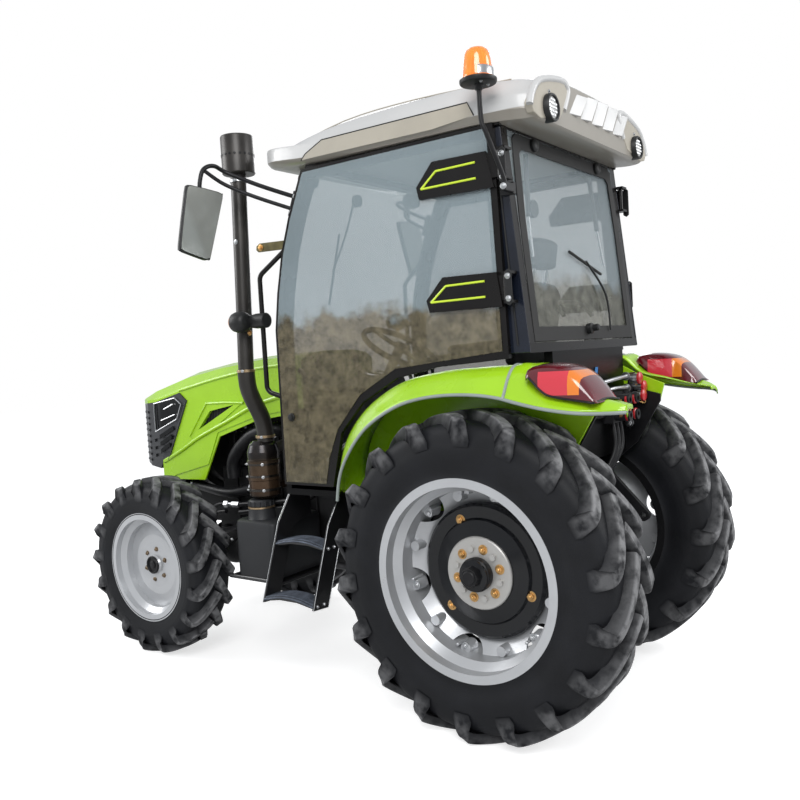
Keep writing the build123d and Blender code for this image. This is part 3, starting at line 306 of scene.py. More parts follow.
def lugged_tyre(node, body, side, centre, radius, mid, half, bead, seat, lug_h, lugs, bar, sweep, finish):
    """Carcass turned from a smooth half section, with curved lug bars from the middle down the shoulder."""
    crown = radius - lug_h
    span = crown - bead
    half_section = bent([(bead, seat), (bead + 0.06 * span, seat + 0.006), (bead + 0.24 * span, half * 0.93),
        (bead + 0.46 * span, half), (bead + 0.7 * span, half * 0.97), (bead + 0.88 * span, half * 0.9),
        (crown - 0.004, half * 0.72), (crown, half * 0.35), (crown + 0.001, 0)], 4)
    ringed = []
    for r, y in half_section:
        step = sum(0.0026 * math.exp(-((r - bead - f * span) / 0.0045) ** 2) for f in (0.1, 0.27, 0.6))
        ringed.append((r, y + step))
    section = [(r, mid + side * y) for r, y in ringed] + [(r, mid - side * y) for r, y in reversed(ringed[:-1])]
    inner = [(bead, mid - side * (seat - 0.02)), (crown - 0.06, mid - side * (half - 0.02)), (crown - 0.03, mid),
        (crown - 0.06, mid + side * (half - 0.02)), (bead, mid + side * (seat - 0.02))]
    points, faces = turned(section + inner, centre, 144)
    rubbed = [0.0] * len(points)
    # stations: place across, share of the sweep, outer radius, root radius, how far the bar widens
    stations = [(-0.1, -0.06, radius - 0.001, crown - 0.012, 1.0), (0.1, 0.14, radius, crown - 0.012, 1.0),
        (0.36, 0.42, radius - 0.001, crown - 0.012, 1.0), (0.62, 0.69, radius - 0.003, crown - 0.014, 1.05),
        (0.84, 0.88, radius - 0.009, crown - 0.022, 1.15), (0.965, 0.97, radius - 0.019, crown - 0.04, 1.25),
        (1.0, 1.0, radius - 0.04, crown - 0.06, 1.3), (1.01, 1.01, radius - 0.074, crown - 0.085, 1.1)]
    run = bent(stations, 3)
    for row in (1, -1):
        for k in range(lugs):
            start = len(points)
            turn0 = 2 * math.pi * (k + (0.5 if row < 0 else 0)) / lugs
            spots = [(frac * half, share * sweep) for frac, share, *_ in run]
            for i, (frac, share, top, low, wide) in enumerate(run):
                (y0, s0), (y1, s1) = spots[max(i - 1, 0)], spots[min(i + 1, len(spots) - 1)]
                size = math.hypot(y1 - y0, s1 - s0) or 1
                ahead = ((y1 - y0) / size, (s1 - s0) / size)
                down_the_wall = min(1, max(0, (frac - 0.93) / 0.07))
                # across the bar: square to its run on the tread, straight round the wheel on the wall
                side_y, side_s = -ahead[1] * (1 - down_the_wall), ahead[0] * (1 - down_the_wall) + down_the_wall
                worn = 1.0 if frac < 0.99 else 0.45
                for r, offset, grey in ((low, -1.75, 0.0), (top - 0.007, -1.12, 0.35), (top, -0.86, worn),
                        (top, 0.86, worn), (top - 0.007, 1.12, 0.35), (low, 1.75, 0.0)):
                    y = spots[i][0] + side_y * offset * bar * wide
                    s = spots[i][1] + side_s * offset * bar * wide
                    a = turn0 - s / crown
                    points.append((centre[0] + r * math.sin(a), mid + side * row * y, centre[1] + r * math.cos(a)))
                    rubbed.append(grey)
            for i in range(len(run) - 1):
                for j in range(5):
                    a = start + 6 * i + j
                    faces.append((a, a + 1, a + 7, a + 6))
            faces.append(tuple(start + j for j in range(6)))
            faces.append(tuple(start + 6 * (len(run) - 1) + j for j in range(6)))
    tyre = put(node + "_rubber", points, faces, finish, body, sharp=32, rubbed=rubbed)
    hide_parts(node)


RUBBER = (0.0075, 0.008, 0.01)
RUBBED = (0.2, 0.2, 0.205)
rubber = worn_rubber("tyre_rubber", RUBBER, RUBBED)
REAR_HALF, REAR_BEAD, REAR_SEAT, REAR_LUG, REAR_LUGS = 0.1575, 0.357, 0.141, 0.036, 18
FRONT_HALF, FRONT_BEAD, FRONT_SEAT, FRONT_LUG, FRONT_LUGS = 0.11, 0.256, 0.092, 0.029, 17
REAR_BAR, REAR_SWEEP = 0.019, 0.235
FRONT_BAR, FRONT_SWEEP = 0.017, 0.15
for side, hand in SIDES:
    lugged_tyre("rear_tyre_" + hand, "rear_wheel_" + hand, side, (REAR_X, REAR_R), REAR_R, side * REAR_Y, REAR_HALF,
        REAR_BEAD, REAR_SEAT, REAR_LUG, REAR_LUGS, REAR_BAR, REAR_SWEEP, rubber)
    lugged_tyre("front_tyre_" + hand, "front_wheel_" + hand, side, (FRONT_X, FRONT_R), FRONT_R, side * FRONT_Y,
        FRONT_HALF, FRONT_BEAD, FRONT_SEAT, FRONT_LUG, FRONT_LUGS, FRONT_BAR, FRONT_SWEEP, rubber)


# ---------------------------------------------------------------- wheels
# Rolled steel rims painted silver, with a pressed disc bolted in. Each rear wheel carries a black
# cast weight and a bright hub plate under zinc-plated bolts; the rear rims are near black on the side that faces the
# machine.
def frame_along(way):
    """A direction and two more square to it."""
    way = Vector(way).normalized()
    first = way.cross(Vector((0, 0, 1)) if abs(way.z) < 0.9 else Vector((1, 0, 0))).normalized()
    return way, first, way.cross(first)


def stacked(points, faces, centre, way, rings, sides, turn=0.0):
    """Adds a closed stack of rings (distance along, radius) with that many sides."""
    way, first, second = frame_along(way)
    start = len(points)
    for along, radius in rings:
        for k in range(sides):
            a = turn + 2 * math.pi * k / sides
            points.append(Vector(centre) + way * along + (first * math.cos(a) + second * math.sin(a)) * radius)
    faces += tube_faces(len(rings), sides, start)


def stacks(name, turned_parts, finish, body="chassis", soften=0.0, sharp=35):
    """One piece of closed stacks of rings, each as (centre, way, rings, sides)."""
    points, faces = [], []
    for part in turned_parts:
        stacked(points, faces, *part)
    return put(name, points, faces, finish, body, soften=soften, sharp=sharp)


def stack(name, centre, way, rings, sides, finish, body="chassis", soften=0.0, sharp=35):
    """One turned piece: a closed stack of rings (distance along, radius)."""
    return stacks(name, [(centre, way, rings, sides)], finish, body, soften, sharp)


def bolts(name, spots, size, finish, body="chassis"):
    """Hexagon heads on washers, each at (place, way out)."""
    washer = [(-0.002, size * 1.45), (size * 0.18, size * 1.45), (size * 0.24, size * 1.3)]
    head = [(size * 0.2, size), (size * 0.85, size), (size * 1.0, size * 0.84)]
    thread = [(size * 0.9, size * 0.5), (size * 1.3, size * 0.5), (size * 1.38, size * 0.4)]
    return stacks(name, [(place, way, rings, sides) for place, way in spots
        for rings, sides in ((washer, 24), (head, 6), (thread, 12))], finish, body)


def on_wheel(side, axle, radius, degrees, y):
    """Place on a wheel's face: degrees from straight up, towards the rear of the machine."""
    a = math.radians(degrees)
    return Vector((axle[0] - radius * math.sin(a), side * y, axle[1] + radius * math.cos(a)))


def two_sided_paint(name, outside, inside, inner_y, rough, metal):
    """Wheel paint: one colour outside, another on the side that faces the machine."""
    finish = surface(name, outside, rough, metal=metal, coat=0.3, blotch=0.05, dust=0.12)
    tree, shader, spot, painted = layers(finish)
    away = maths(tree, "ABSOLUTE", part_of(tree, spot, "Y"))
    outward = ranged(tree, away, inner_y - 0.001, inner_y + 0.001)
    plug(shader, Base_Color=mixed(tree, outward, (*inside, 1), painted))
    return finish


def dress(finish, *nodes):
    """Gives solids that stay in view their finish."""
    for node in nodes:
        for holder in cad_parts[node].material_slots:
            holder.material = finish


rear_silver = two_sided_paint("rear_wheel_silver", (0.5, 0.51, 0.525), (0.012, 0.012, 0.013), 0.462, 0.3, 0.45)
front_silver = surface("front_wheel_silver", (0.5, 0.51, 0.525), 0.3, metal=0.4, coat=0.3, blotch=0.05,
    dust=0.12)
weight_black = surface("weight_black", (0.004, 0.0045, 0.006), 0.2, coat=0.25, blotch=0.2, blotch_size=3,
    shine=0.3)
plate_silver = surface("plate_silver", (0.5, 0.49, 0.47), 0.42, metal=0.5, blotch=0.06)
zinc_gold = surface("zinc_gold", (0.6, 0.36, 0.14), 0.35, metal=0.85, blotch=0.3, blotch_size=60)
bright_steel = surface("bright_steel", (0.55, 0.56, 0.57), 0.3, metal=1, blotch=0.12)
axle_black = surface("axle_black", (0.007, 0.007, 0.008), 0.4, blotch=0.3, blotch_size=20, grain=0.2,
    shine=0.3)
worn_bronze = surface("worn_bronze", (0.2, 0.15, 0.1), 0.4, metal=0.8, blotch=0.4, blotch_size=60)
dress(rear_silver, "rear_rim_left", "rear_rim_right")
dress(front_silver, "front_rim_left", "front_rim_right")
dress(weight_black, "rear_weight_left", "rear_weight_right")
dress(plate_silver, "rear_hub_left", "rear_hub_right")
REAR_AXLE, FRONT_AXLE = (REAR_X, REAR_R), (FRONT_X, FRONT_R)
for side, hand in SIDES:
    out = Vector((0, side, 0))
    body = "rear_wheel_" + hand
    plate_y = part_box("rear_hub_left")[1].y - 0.012
    bolts("rear_hub_bolts_" + hand, [(on_wheel(side, REAR_AXLE, 0.096, turn, plate_y), out)
        for turn in range(15, 375, 60)], 0.0135, zinc_gold, body)
    bolts("rear_weight_bolts_" + hand, [(on_wheel(side, REAR_AXLE, 0.212, turn, 0.544), out)
        for turn in (-25, 110, 225)], 0.014, zinc_gold, body)
    # loops that clamp the rim to its disc: a bent rod with a nut, on a lug welded in the rim
    for n, turn in enumerate(range(15, 375, 60)):
        place = on_wheel(side, REAR_AXLE, 0.302, turn, 0.575)
        bolts("clamp_nut_%s_%d" % (hand, n), [(place, out)], 0.01, bright_steel, body)
        away = (on_wheel(side, REAR_AXLE, 1, turn, 0) - on_wheel(side, REAR_AXLE, 0, turn, 0)).normalized()
        along = away.cross(out)
        stacks("clamp_lug_%s_%d" % (hand, n), [
            (place + away * 0.012 - out * 0.055, out, [(0, 0.026), (0.052, 0.022), (0.055, 0.019)], 20),
            (place + along * 0.026 - out * 0.05, out, [(0, 0.006), (0.07, 0.006), (0.072, 0.004)], 10)],
            rear_silver, body)
    # valve in its guard block at the rim's well
    place = on_wheel(side, REAR_AXLE, 0.318, -12, 0.56)
    stacks("valve_guard_" + hand, [(place + Vector((shift, 0, 0)) + out * low, out,
        [(0, 0.017), (high - low - 0.003, 0.017), (high - low, 0.014)], 4, math.pi / 4)
        for shift, low, high in ((0, -0.035, 0.022), (-0.026, -0.035, 0.012))], front_silver, body, soften=0.002)
    # end of the axle shaft: flanged boss, castle nut and centre
    hub = on_wheel(side, REAR_AXLE, 0, 0, 0.582)
    boss = [(0, 0.064), (0.022, 0.066), (0.03, 0.064), (0.036, 0.056), (0.04, 0.045)]
    nut = [(0, 0.041), (0.014, 0.041), (0.019, 0.038), (0.03, 0.038), (0.036, 0.034)]
    stacks("axle_end_" + hand, [(hub, out, boss, 40), (hub + out * 0.034, out, nut, 8),
        (hub + out * 0.036, out, [(0, 0.027), (0.036, 0.027), (0.04, 0.023)], 24)], axle_black, body, soften=0.0012)
    # front wheel: hub bolts with their studs, grease cap and valve
    body = "front_wheel_" + hand
    bolts("front_hub_bolts_" + hand, [(on_wheel(side, FRONT_AXLE, 0.08, turn, 0.571), out)
        for turn in range(10, 370, 60)], 0.0095, worn_bronze, body)
    rim = [(0, 0.046), (0.006, 0.046), (0.01, 0.043), (0.01, 0.037), (0.003, 0.034)]
    stacks("front_hub_cap_" + hand, [(on_wheel(side, FRONT_AXLE, 0, 0, 0.588), out, rim, 40),
        (on_wheel(side, FRONT_AXLE, 0, 0, 0.5895), out, [(0, 0.02), (0.005, 0.02), (0.008, 0.014)], 20)],
        axle_black, body)
    stack("front_valve_" + hand, on_wheel(side, FRONT_AXLE, 0.212, 70, 0.565), (0, side, 0.25), [(-0.01, 0.008),
        (0.01, 0.008), (0.013, 0.0045), (0.03, 0.0045), (0.031, 0.003)], 14, zinc_gold, body)


# ---------------------------------------------------------------- fenders
# Pressed steel fenders in gloss lime paint: a broad arch with a sloping flank, a wall beside the
# cab, and a tail that carries the lamp. A grey rubber bead covers the edge and the joint.
def at(x, y, z):
    """Place counted forward of the rear axle."""
    return Vector((REAR_X + x, y, z))


def over_tyre(room, degrees):
    """Place beside the rear tyre, forward of its axle and up, with some room over the lugs."""
    turn = math.radians(degrees)
    return (REAR_R + room) * math.cos(turn), REAR_R + (REAR_R + room) * math.sin(turn)


def bar(name, stops, radius, finish, body="chassis", slot=None, sides=14, steps=6):
    """Round bar or pipe on a smooth run through the stops."""
    run = [Vector(p) for p in (bent(stops, steps) if len(stops) > 2 else stops)]
    points = []
    first = frame_along(run[1] - run[0])[1]
    for i, p in enumerate(run):
        ahead = (run[min(i + 1, len(run) - 1)] - run[max(i - 1, 0)]).normalized()
        first = (first - ahead * first.dot(ahead)).normalized()
        second = ahead.cross(first)
        for k in range(sides):
            a = 2 * math.pi * k / sides
            points.append(p + (first * math.cos(a) + second * math.sin(a)) * radius)
    return put(name, points, tube_faces(len(run), sides), finish, body)


def sheet(name, rows, thick, finish, sharp=40):
    """Bent sheet metal through rows of points."""
    made = put(name, [p for row in rows for p in row], row_faces(len(rows), len(rows[0])), finish, sharp=sharp)
    skin = made.modifiers.new("sheet", "SOLIDIFY")
    skin.thickness = thick
    skin.offset = 0
    return made


def prism(count):
    """Faces of a flat piece: an outline, the same outline again, and the walls between them."""
    walls = [(k, (k + 1) % count, count + (k + 1) % count, count + k) for k in range(count)]
    return [tuple(range(count)), tuple(range(count, 2 * count))] + walls


def plate(name, outline, low, high, finish, body="chassis", soften=0.0015, facing="side", side=1):
    """Flat plate cut to an outline of (forward, up), or of (across, up) when it faces forward."""
    low, high = sorted((side * low, side * high))
    if facing == "side":
        points = [at(x, y, z) for y in (low, high) for x, z in outline]
    else:
        points = [at(x, y, z) for x in (low, high) for y, z in outline]
    return put(name, points, prism(len(outline)), finish, body, soften=soften)


lime_paint = surface("lime_paint", (0.33, 0.6, 0.01), 0.26, coat=0.45, blotch=0.05, grain=0.01)
grey_bead = surface("grey_bead", (0.27, 0.31, 0.29), 0.5, blotch=0.1)
# room over the lugs and degrees up, at the crest and at the outer edge; then the stations made of them,
# from the front edge to the tail's tip: (crest, outer edge, where the inner edge lies)
ARCH = [(0.11, 20.5, 0.046, 23.5), (0.16, 29.5, 0.072, 31.0), (0.19, 39.1, 0.088, 39.5), (0.191, 51.0, 0.098, 52.2),
    (0.176, 65.2, 0.09, 67.8), (0.151, 79.7, 0.075, 83.2), (0.152, 94.4, 0.074, 97.6), (0.172, 103, 0.078, 105.5)]
FENDER = [(over_tyre(a, b), over_tyre(c, d), 0.36, 0.66) for a, b, c, d in ARCH]
TAIL = [((-0.235, 1.392), (-0.262, 1.273), 0.36, 0.66), ((-0.3, 1.322), (-0.345, 1.256), 0.4, 0.66),
    ((-0.4, 1.292), (-0.44, 1.243), 0.43, 0.655), ((-0.485, 1.268), (-0.515, 1.238), 0.45, 0.634),
    ((-0.545, 1.254), (-0.562, 1.236), 0.465, 0.592), ((-0.58, 1.246), (-0.586, 1.234), 0.475, 0.545)]


def fender_rows(side, stations, fine):
    """Rows across the fender, inner edge to outer lip."""
    rows = []
    for cx, cz, ex, ez, inner, outer in bent([(*crest, *edge, inner, outer) for crest, edge, inner, outer in stations],
            fine):
        shoulder = min(0.518, inner + 0.6 * (outer - inner))
        row = [at(cx, side * (inner + (shoulder - 0.003 - inner) * u), cz + 0.004 * u) for u in (0, 0.35, 0.7)]
        for u in (0.0, 0.05, 0.14, 0.3, 0.5, 0.7, 0.85, 0.94, 1.0):
            swell = 0.02 * math.sin(math.pi * min(1, u * 1.05)) + 0.006 * (1 - u)
            swell *= (outer - shoulder) / 0.142
            row.append(at(cx + (ex - cx) * u, side * (shoulder + (outer - 0.004 - shoulder) * u ** 0.9),
                cz + (ez - cz) * u ** 1.15 + swell))
        row.append(at(ex, side * outer, ez - 0.01))
        rows.append(row)
    return rows


for side, hand in SIDES:
    arch = fender_rows(side, FENDER, 8)
    tail = fender_rows(side, [FENDER[-1]] + TAIL, 6)
    sheet("fender_arch_" + hand, arch, 0.005, lime_paint)
    sheet("fender_tail_" + hand, tail, 0.005, lime_paint)
    # the tail's end is turned down and closed
    end = [tail[-1], [p + Vector((-0.004, 0, -0.002)) for p in tail[-1]],
        [p + Vector((-0.006, 0, -0.016)) for p in tail[-1]]]
    sheet("fender_tip_" + hand, end, 0.005, lime_paint, sharp=60)
    edge_run = [row[-1] for row in arch[::4]] + [row[-1] for row in tail[4::4]] + [end[1][-1]]
    bar("fender_bead_" + hand, edge_run, 0.0065, grey_bead, sides=10, steps=4)
    joint = [p + (p - at(0, side * 0.4, 0.9)).normalized() * 0.0025 for p in arch[-1][2:]]
    bar("fender_joint_bead_" + hand, joint, 0.006, grey_bead, sides=8, steps=3)
    # wall beside the cab, with a round hole for the lamp's cable
    upper = [over_tyre(room - 0.004, turn) for room, turn, *_ in ARCH]
    wall = bent(upper, 4) + [(-0.3, 1.318), (-0.42, 1.27), (-0.4, 1.2), (-0.29, 1.02), (-0.1, 0.86), (0.2, 0.8),
        (0.52, 0.8)]
    made = plate("fender_wall_" + hand, wall, 0.357, 0.369, lime_paint, side=side)
    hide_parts("fender_" + hand)
    shield = [(-0.405, 1.196), (-0.294, 1.014), (-0.102, 0.854), (0.2, 0.794), (0.54, 0.794), (0.64, 0.96),
        (0.52, 1.19), (0.3, 1.3), (-0.1, 1.33), (-0.245, 1.268), (-0.405, 1.226)]
    plate("wall_shield_" + hand, shield, 0.346, 0.356, axle_black, soften=0.002, side=side)
    bolts("wall_shield_bolts_" + hand, [(at(-0.262, side * 0.346, 1.1), (0, -side, 0)),
        (at(0.05, side * 0.346, 1.24), (0, -side, 0))], 0.014, bright_steel)
    stack("wall_grommet_" + hand, at(-0.247, side * 0.366, 1.105), (0, side, 0), [(0, 0.03), (0.006, 0.03),
        (0.009, 0.026), (0.009, 0.018), (0.002, 0.016)], 28, axle_black)
    # stay under the arch
    bar("fender_stay_" + hand, [at(-0.02, side * 0.37, 1.3), at(-0.02, side * 0.45, 1.335),
        at(-0.02, side * 0.52, 1.372)], 0.011, axle_black, sides=10)


# ---------------------------------------------------------------- tail lamps
# Clusters seated on the fender tails: a smoked red lens over a bright red field and an amber one,
# in a thin black frame.
SMOKED = (0.1, 0.004, 0.01)
LAMP_RIDGE = [(-0.262, 1.352), (-0.266, 1.384), (-0.29, 1.396), (-0.345, 1.399), (-0.405, 1.39), (-0.455, 1.362),
    (-0.5, 1.312), (-0.528, 1.272)]
LAMP_FOOT = [(-0.282, 1.356), (-0.3, 1.338), (-0.322, 1.314), (-0.35, 1.294), (-0.395, 1.283), (-0.445, 1.275),
    (-0.495, 1.268), (-0.53, 1.264)]


def lens_paint(name):
    """Smoked red plastic with a red field and an amber field behind it."""
    finish = surface(name, SMOKED, 0.12, coat=0.9, blotch=0.15, blotch_size=14, grain=0.01)
    tree, shader, spot, smoked = layers(finish)
    x, y, z = (part_of(tree, spot, axis) for axis in "XYZ")
    fields = ramp(tree, [(0.0, SMOKED), (0.25, (0.75, 0.2, 0.015)), (0.4, (0.6, 0.03, 0.05)), (0.8, SMOKED)],
        ranged(tree, x, REAR_X - 0.535, REAR_X - 0.262), "CONSTANT")
    # the fields lie on the outer side, where they end in a slanted edge, and on the side toward the middle
    away = maths(tree, "ABSOLUTE", y)
    outer = maths(tree, "GREATER_THAN", maths(tree, "MULTIPLY_ADD", x, -0.8, away), 0.57 - 0.8 * (REAR_X - 0.31))
    mask = maths(tree, "MAXIMUM", outer, maths(tree, "COMPARE", away, 0.456, 0.022))
    # the smoked rim runs all round them
    for test, limit in (("GREATER_THAN", 1.292), ("LESS_THAN", 1.374)):
        mask = maths(tree, "MULTIPLY", mask, maths(tree, test, z, limit))
    plug(shader, Base_Color=mixed(tree, mask, smoked, fields))
    return finish


lens_red = lens_paint("lens_red")
for side, hand in SIDES:
    rows = []
    for (rx, rz), (fx, fz) in zip(bent(LAMP_RIDGE, 5), bent(LAMP_FOOT, 5)):
        row = [at(fx, side * 0.452, fz), at(rx, side * 0.456, rz - 0.012), at(rx, side * 0.466, rz - 0.003)]
        row += [at(rx, side * y, rz + lift)
            for y, lift in ((0.5, 0.002), (0.55, 0.002), (0.6, -0.002), (0.622, -0.008))]
        row += [at(rx + (fx - rx) * 0.15, side * 0.636, rz - 0.2 * (rz - fz) - 0.006),
            at(rx + (fx - rx) * 0.5, side * 0.643, (rz + fz) / 2 - 0.002), at(fx, side * 0.645, fz)]
        rows.append(row)
    points = [p for row in rows for p in row]
    wide = len(rows[0])
    faces = row_faces(len(rows), wide)
    faces += [tuple(range(wide)), tuple(len(points) - wide + j for j in range(wide))]
    faces += [(i * wide, (i + 1) * wide, (i + 2) * wide - 1, (i + 1) * wide - 1) for i in range(len(rows) - 1)]
    lamp = put("tail_lamp_" + hand, points, faces, lens_red, sharp=50)
    bar("tail_lamp_frame_" + hand, [row[-1] for row in rows[::3]] + [rows[-1][4], rows[-1][0]], 0.004, axle_black,
        slot="black_plastic", sides=8, steps=3)
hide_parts("tail_lamps")


# ---------------------------------------------------------------- bonnet
# Pressed steel bonnet in gloss lime paint, stiffened by a side crease, a raised border round the
# black mesh vent and a long crease that runs down to the skirt's front corner.
lime_bonnet = surface("lime_bonnet", (0.35, 0.63, 0.01), 0.26, coat=0.45, blotch=0.04, grain=0.01)
dress(lime_bonnet, "bonnet")
vent_mesh = surface("vent_mesh", (0.012, 0.013, 0.013), 0.5, metal=0.3, blotch=0.2)
dress(vent_mesh, "bonnet_vents")
BONNET_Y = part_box("bonnet_vents")[1].y + 0.0203


def ridge(name, run, width, height, side):
    """Low rounded ridge pressed out of a side panel, along points (forward, up)."""
    rows = []
    for i, (x, z) in enumerate(run):
        (x0, z0), (x1, z1) = run[max(i - 1, 0)], run[min(i + 1, len(run) - 1)]
        size = math.hypot(x1 - x0, z1 - z0)
        nx, nz = -(z1 - z0) / size, (x1 - x0) / size
        fade = min(1, i / 2, (len(run) - 1 - i) / 2) if len(run) > 5 else 1
        rows.append([at(x + nx * width * u, side * (BONNET_Y - 0.001 + height * fade * (1 - abs(u)) ** 0.6),
            z + nz * width * u) for u in (-1, -0.6, -0.2, 0.2, 0.6, 1)])
    points = [p for row in rows for p in row]
    faces = row_faces(len(rows), 6)
    faces += [(i * 6, (i + 1) * 6, (i + 2) * 6 - 1, (i + 1) * 6 - 1) for i in range(len(rows) - 1)]
    return put(name, points, faces, lime_bonnet, "hood", sharp=60)


for side, hand in SIDES:
    long_crease = bent([(2.205, 0.94), (2.05, 1.005), (1.886, 1.083), (1.66, 1.168), (1.448, 1.249), (1.2, 1.305)], 4)
    ridge("bonnet_long_crease_" + hand, long_crease, 0.01, 0.006, side)
    border = [(1.53, 1.262), (1.66, 1.266), (1.812, 1.262), (1.89, 1.172), (1.962, 1.088)]
    ridge("bonnet_vent_border_" + hand, border, 0.007, 0.0075, side)
    top_crease = bent([(2.03, 1.336), (1.761, 1.386), (1.559, 1.416), (1.423, 1.434), (1.16, 1.449)], 4)
    ridge("bonnet_side_crease_" + hand, top_crease, 0.006, 0.003, side)
    # woven wire behind the vent
    for n in range(16):
        x = 1.585 + n * 0.021
        bar("vent_wire_%s_%d" % (hand, n), [at(x, side * (BONNET_Y - 0.017), 1.262),
            at(x + 0.03, side * (BONNET_Y - 0.017), 1.108)], 0.0018, axle_black, "hood", slot="black_plastic", sides=6)

# ---------------------------------------------------------------- nose: lamp frames and grille
# Gunmetal frames wrap round the nose. Each holds a dark headlamp with a bright line round it over
# three slats, and a black domed grille of moulded bars closes the middle.
gunmetal = surface("gunmetal", (0.06, 0.062, 0.066), 0.32, metal=0.6, coat=0.3, blotch=0.1)
lamp_glass = surface("lamp_glass", (0.004, 0.0045, 0.005), 0.08, coat=0.3, blotch=0.5, blotch_size=18,
    shine=0.3)
chrome_line = surface("chrome_line", (0.62, 0.63, 0.64), 0.18, metal=1, blotch=0.05)
dress(gunmetal, "grille")
dress(lamp_glass, "headlamps")
for side, hand in SIDES:
    def on_nose(x, z, proud=0.0):
        """Point on the nose's flank: it runs in towards the middle ahead of the lamp."""
        inward = 0 if x < 2.215 else (x - 2.215) / 0.125 * 0.018 if x < 2.34 else 0.018 + (x - 2.34) / 0.1 * 0.057
        return at(x, side * (BONNET_Y - inward + proud), z)
    outline = [(2.262, 1.266), (2.07, 1.296), (2.018, 1.262), (2.062, 1.18), (2.262, 1.108)]
    line = [on_nose(x, z, 0.001) for x, z in outline]
    line.append(line[0])
    for n, (a, b) in enumerate(zip(line, line[1:])):
        bar("lamp_line_%s_%d" % (hand, n), [a, b], 0.0032, chrome_line, "hood", sides=8)
    bar("lamp_blade_" + hand, [on_nose(2.17, 1.235, -0.002), on_nose(2.09, 1.262, -0.002)], 0.004, chrome_line, "hood",
        sides=8)
    bar("lamp_blade_low_" + hand, [on_nose(2.2, 1.172, -0.002), on_nose(2.08, 1.205, -0.002)], 0.0035, chrome_line,
        "hood", sides=8)
    # three slats sunk below the lamp
    for n in range(3):
        x, z = 2.095 + n * 0.02, 1.12 - n * 0.046
        slat = [(x, z), (x + 0.125 - n * 0.022, z - 0.052 + n * 0.006), (x + 0.127 - n * 0.022, z - 0.03 + n * 0.006),
            (x + 0.004, z + 0.022)]
        points = [on_nose(a, b, -0.002) for a, b in slat] + [on_nose(a, b, 0.0022) for a, b in slat]
        put("lamp_slat_%s_%d" % (hand, n), points, prism(4), lamp_glass, "hood")
    # bright edge down the back of the frame
    bar("lamp_frame_edge_" + hand, [on_nose(2.03, 1.322, 0.0), on_nose(1.975, 1.28, 0.0), on_nose(2.157, 0.955, 0.0)],
        0.004, gunmetal, "hood", sides=8, steps=1)
for n in range(9):
    z = 0.945 + n * 0.034
    reach = 0.012 * math.sin(math.pi * (n + 0.5) / 9)
    run = bent([at(2.33, 0.262, z), at(2.43, 0.205, z), at(2.482 + reach, 0.108, z), at(2.494 + reach, 0, z),
        at(2.482 + reach, -0.108, z), at(2.43, -0.205, z), at(2.33, -0.262, z)], 4)
    bar("grille_bar_%d" % n, run, 0.0085, axle_black, "hood", slot="black_plastic", sides=8, steps=1)


# ---------------------------------------------------------------- exhaust
# Steel silencer can with rolled bands and a painted bronze reflection round its body, under a dull
# black pipe with clamps that bends out past the cab post and ends in a hollow cap.
pipe_black = surface("pipe_black", (0.03, 0.027, 0.024), 0.34, metal=0.3, blotch=0.3, blotch_size=9,
    grain=0.15)
brass_clamp = surface("brass_clamp", (0.45, 0.33, 0.2), 0.35, metal=0.9, blotch=0.3, blotch_size=40)


def painted_reflection_steel(name):
    """Bare steel, blue-grey at the dome, with a painted bronze reflection round the body."""
    finish = surface(name, (0.035, 0.026, 0.018), 0.22, metal=0.7, blotch=0.8, blotch_size=22, grain=0.05)
    tree, shader, spot, plain = layers(finish)
    # painted reflection: a bronze band round the body between dark steel, and blue-grey on the dome
    reflection_bands = ramp(tree, [(0.0, (0.01, 0.01, 0.011)), (0.2, (0.16, 0.09, 0.05)), (0.62, (0.15, 0.1, 0.06)),
        (0.72, (0.014, 0.015, 0.018)), (0.92, (0.02, 0.026, 0.038))],
        ranged(tree, part_of(tree, spot, "Z"), 0.82, 1.09))
    plug(shader, Base_Color=mixed(tree, 0.45, plain, reflection_bands))
    return finish


can_steel = painted_reflection_steel("can_steel")
dark_band = surface("dark_band", (0.06, 0.055, 0.05), 0.25, metal=0.9, blotch=0.3, blotch_size=20)
dress(can_steel, "exhaust_can")
CAN_X, CAN_Y = 1.25, 0.44
for n, z in enumerate((0.862, 0.925, 0.985)):
    place = at(CAN_X, CAN_Y, z)
    stack("can_band_%d" % n, place, (0, 0, 1), [(-0.006, 0.0765), (-0.006, 0.079), (0.006, 0.079), (0.006, 0.0765)], 48,
        dark_band, soften=0.001)
    bolts("can_band_bolt_%d" % n, [(place + Vector((-0.052, 0.062, 0)), (-0.6, 0.8, 0)),
        (place + Vector((0.05, 0.064, 0)), (0.6, 0.8, 0))], 0.005, bright_steel)
# wide elbow on the can, then the upright pipe that leans in a little towards its cap
elbow = [at(1.23, 0.436, 1.088), at(1.23, 0.44, 1.15), at(1.227, 0.462, 1.215), at(1.223, 0.505, 1.285),
    at(1.22, 0.536, 1.35), at(1.22, 0.543, 1.425)]
pipe = [at(1.22, 0.542, 1.42), at(1.22, 0.53, 1.7), at(1.22, 0.518, 2.02), at(1.22, 0.506, 2.345)]
stack_pipe = bar("exhaust_pipe", pipe, 0.036, pipe_black, sides=32)
bar("exhaust_elbow", elbow, 0.04, pipe_black, sides=32)
cap = at(1.22, 0.502, 2.33)
CAP_R, CAP_SLOTS = 0.0755, 20
stack("exhaust_cap", cap, (0, 0, 1), [(0, 0.04), (0.002, 0.072), (0.006, CAP_R), (0.168, CAP_R), (0.174, 0.073),
    (0.174, 0.066), (0.03, 0.064), (0.02, 0.04)], 48, pipe_black)
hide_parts("exhaust_stack")
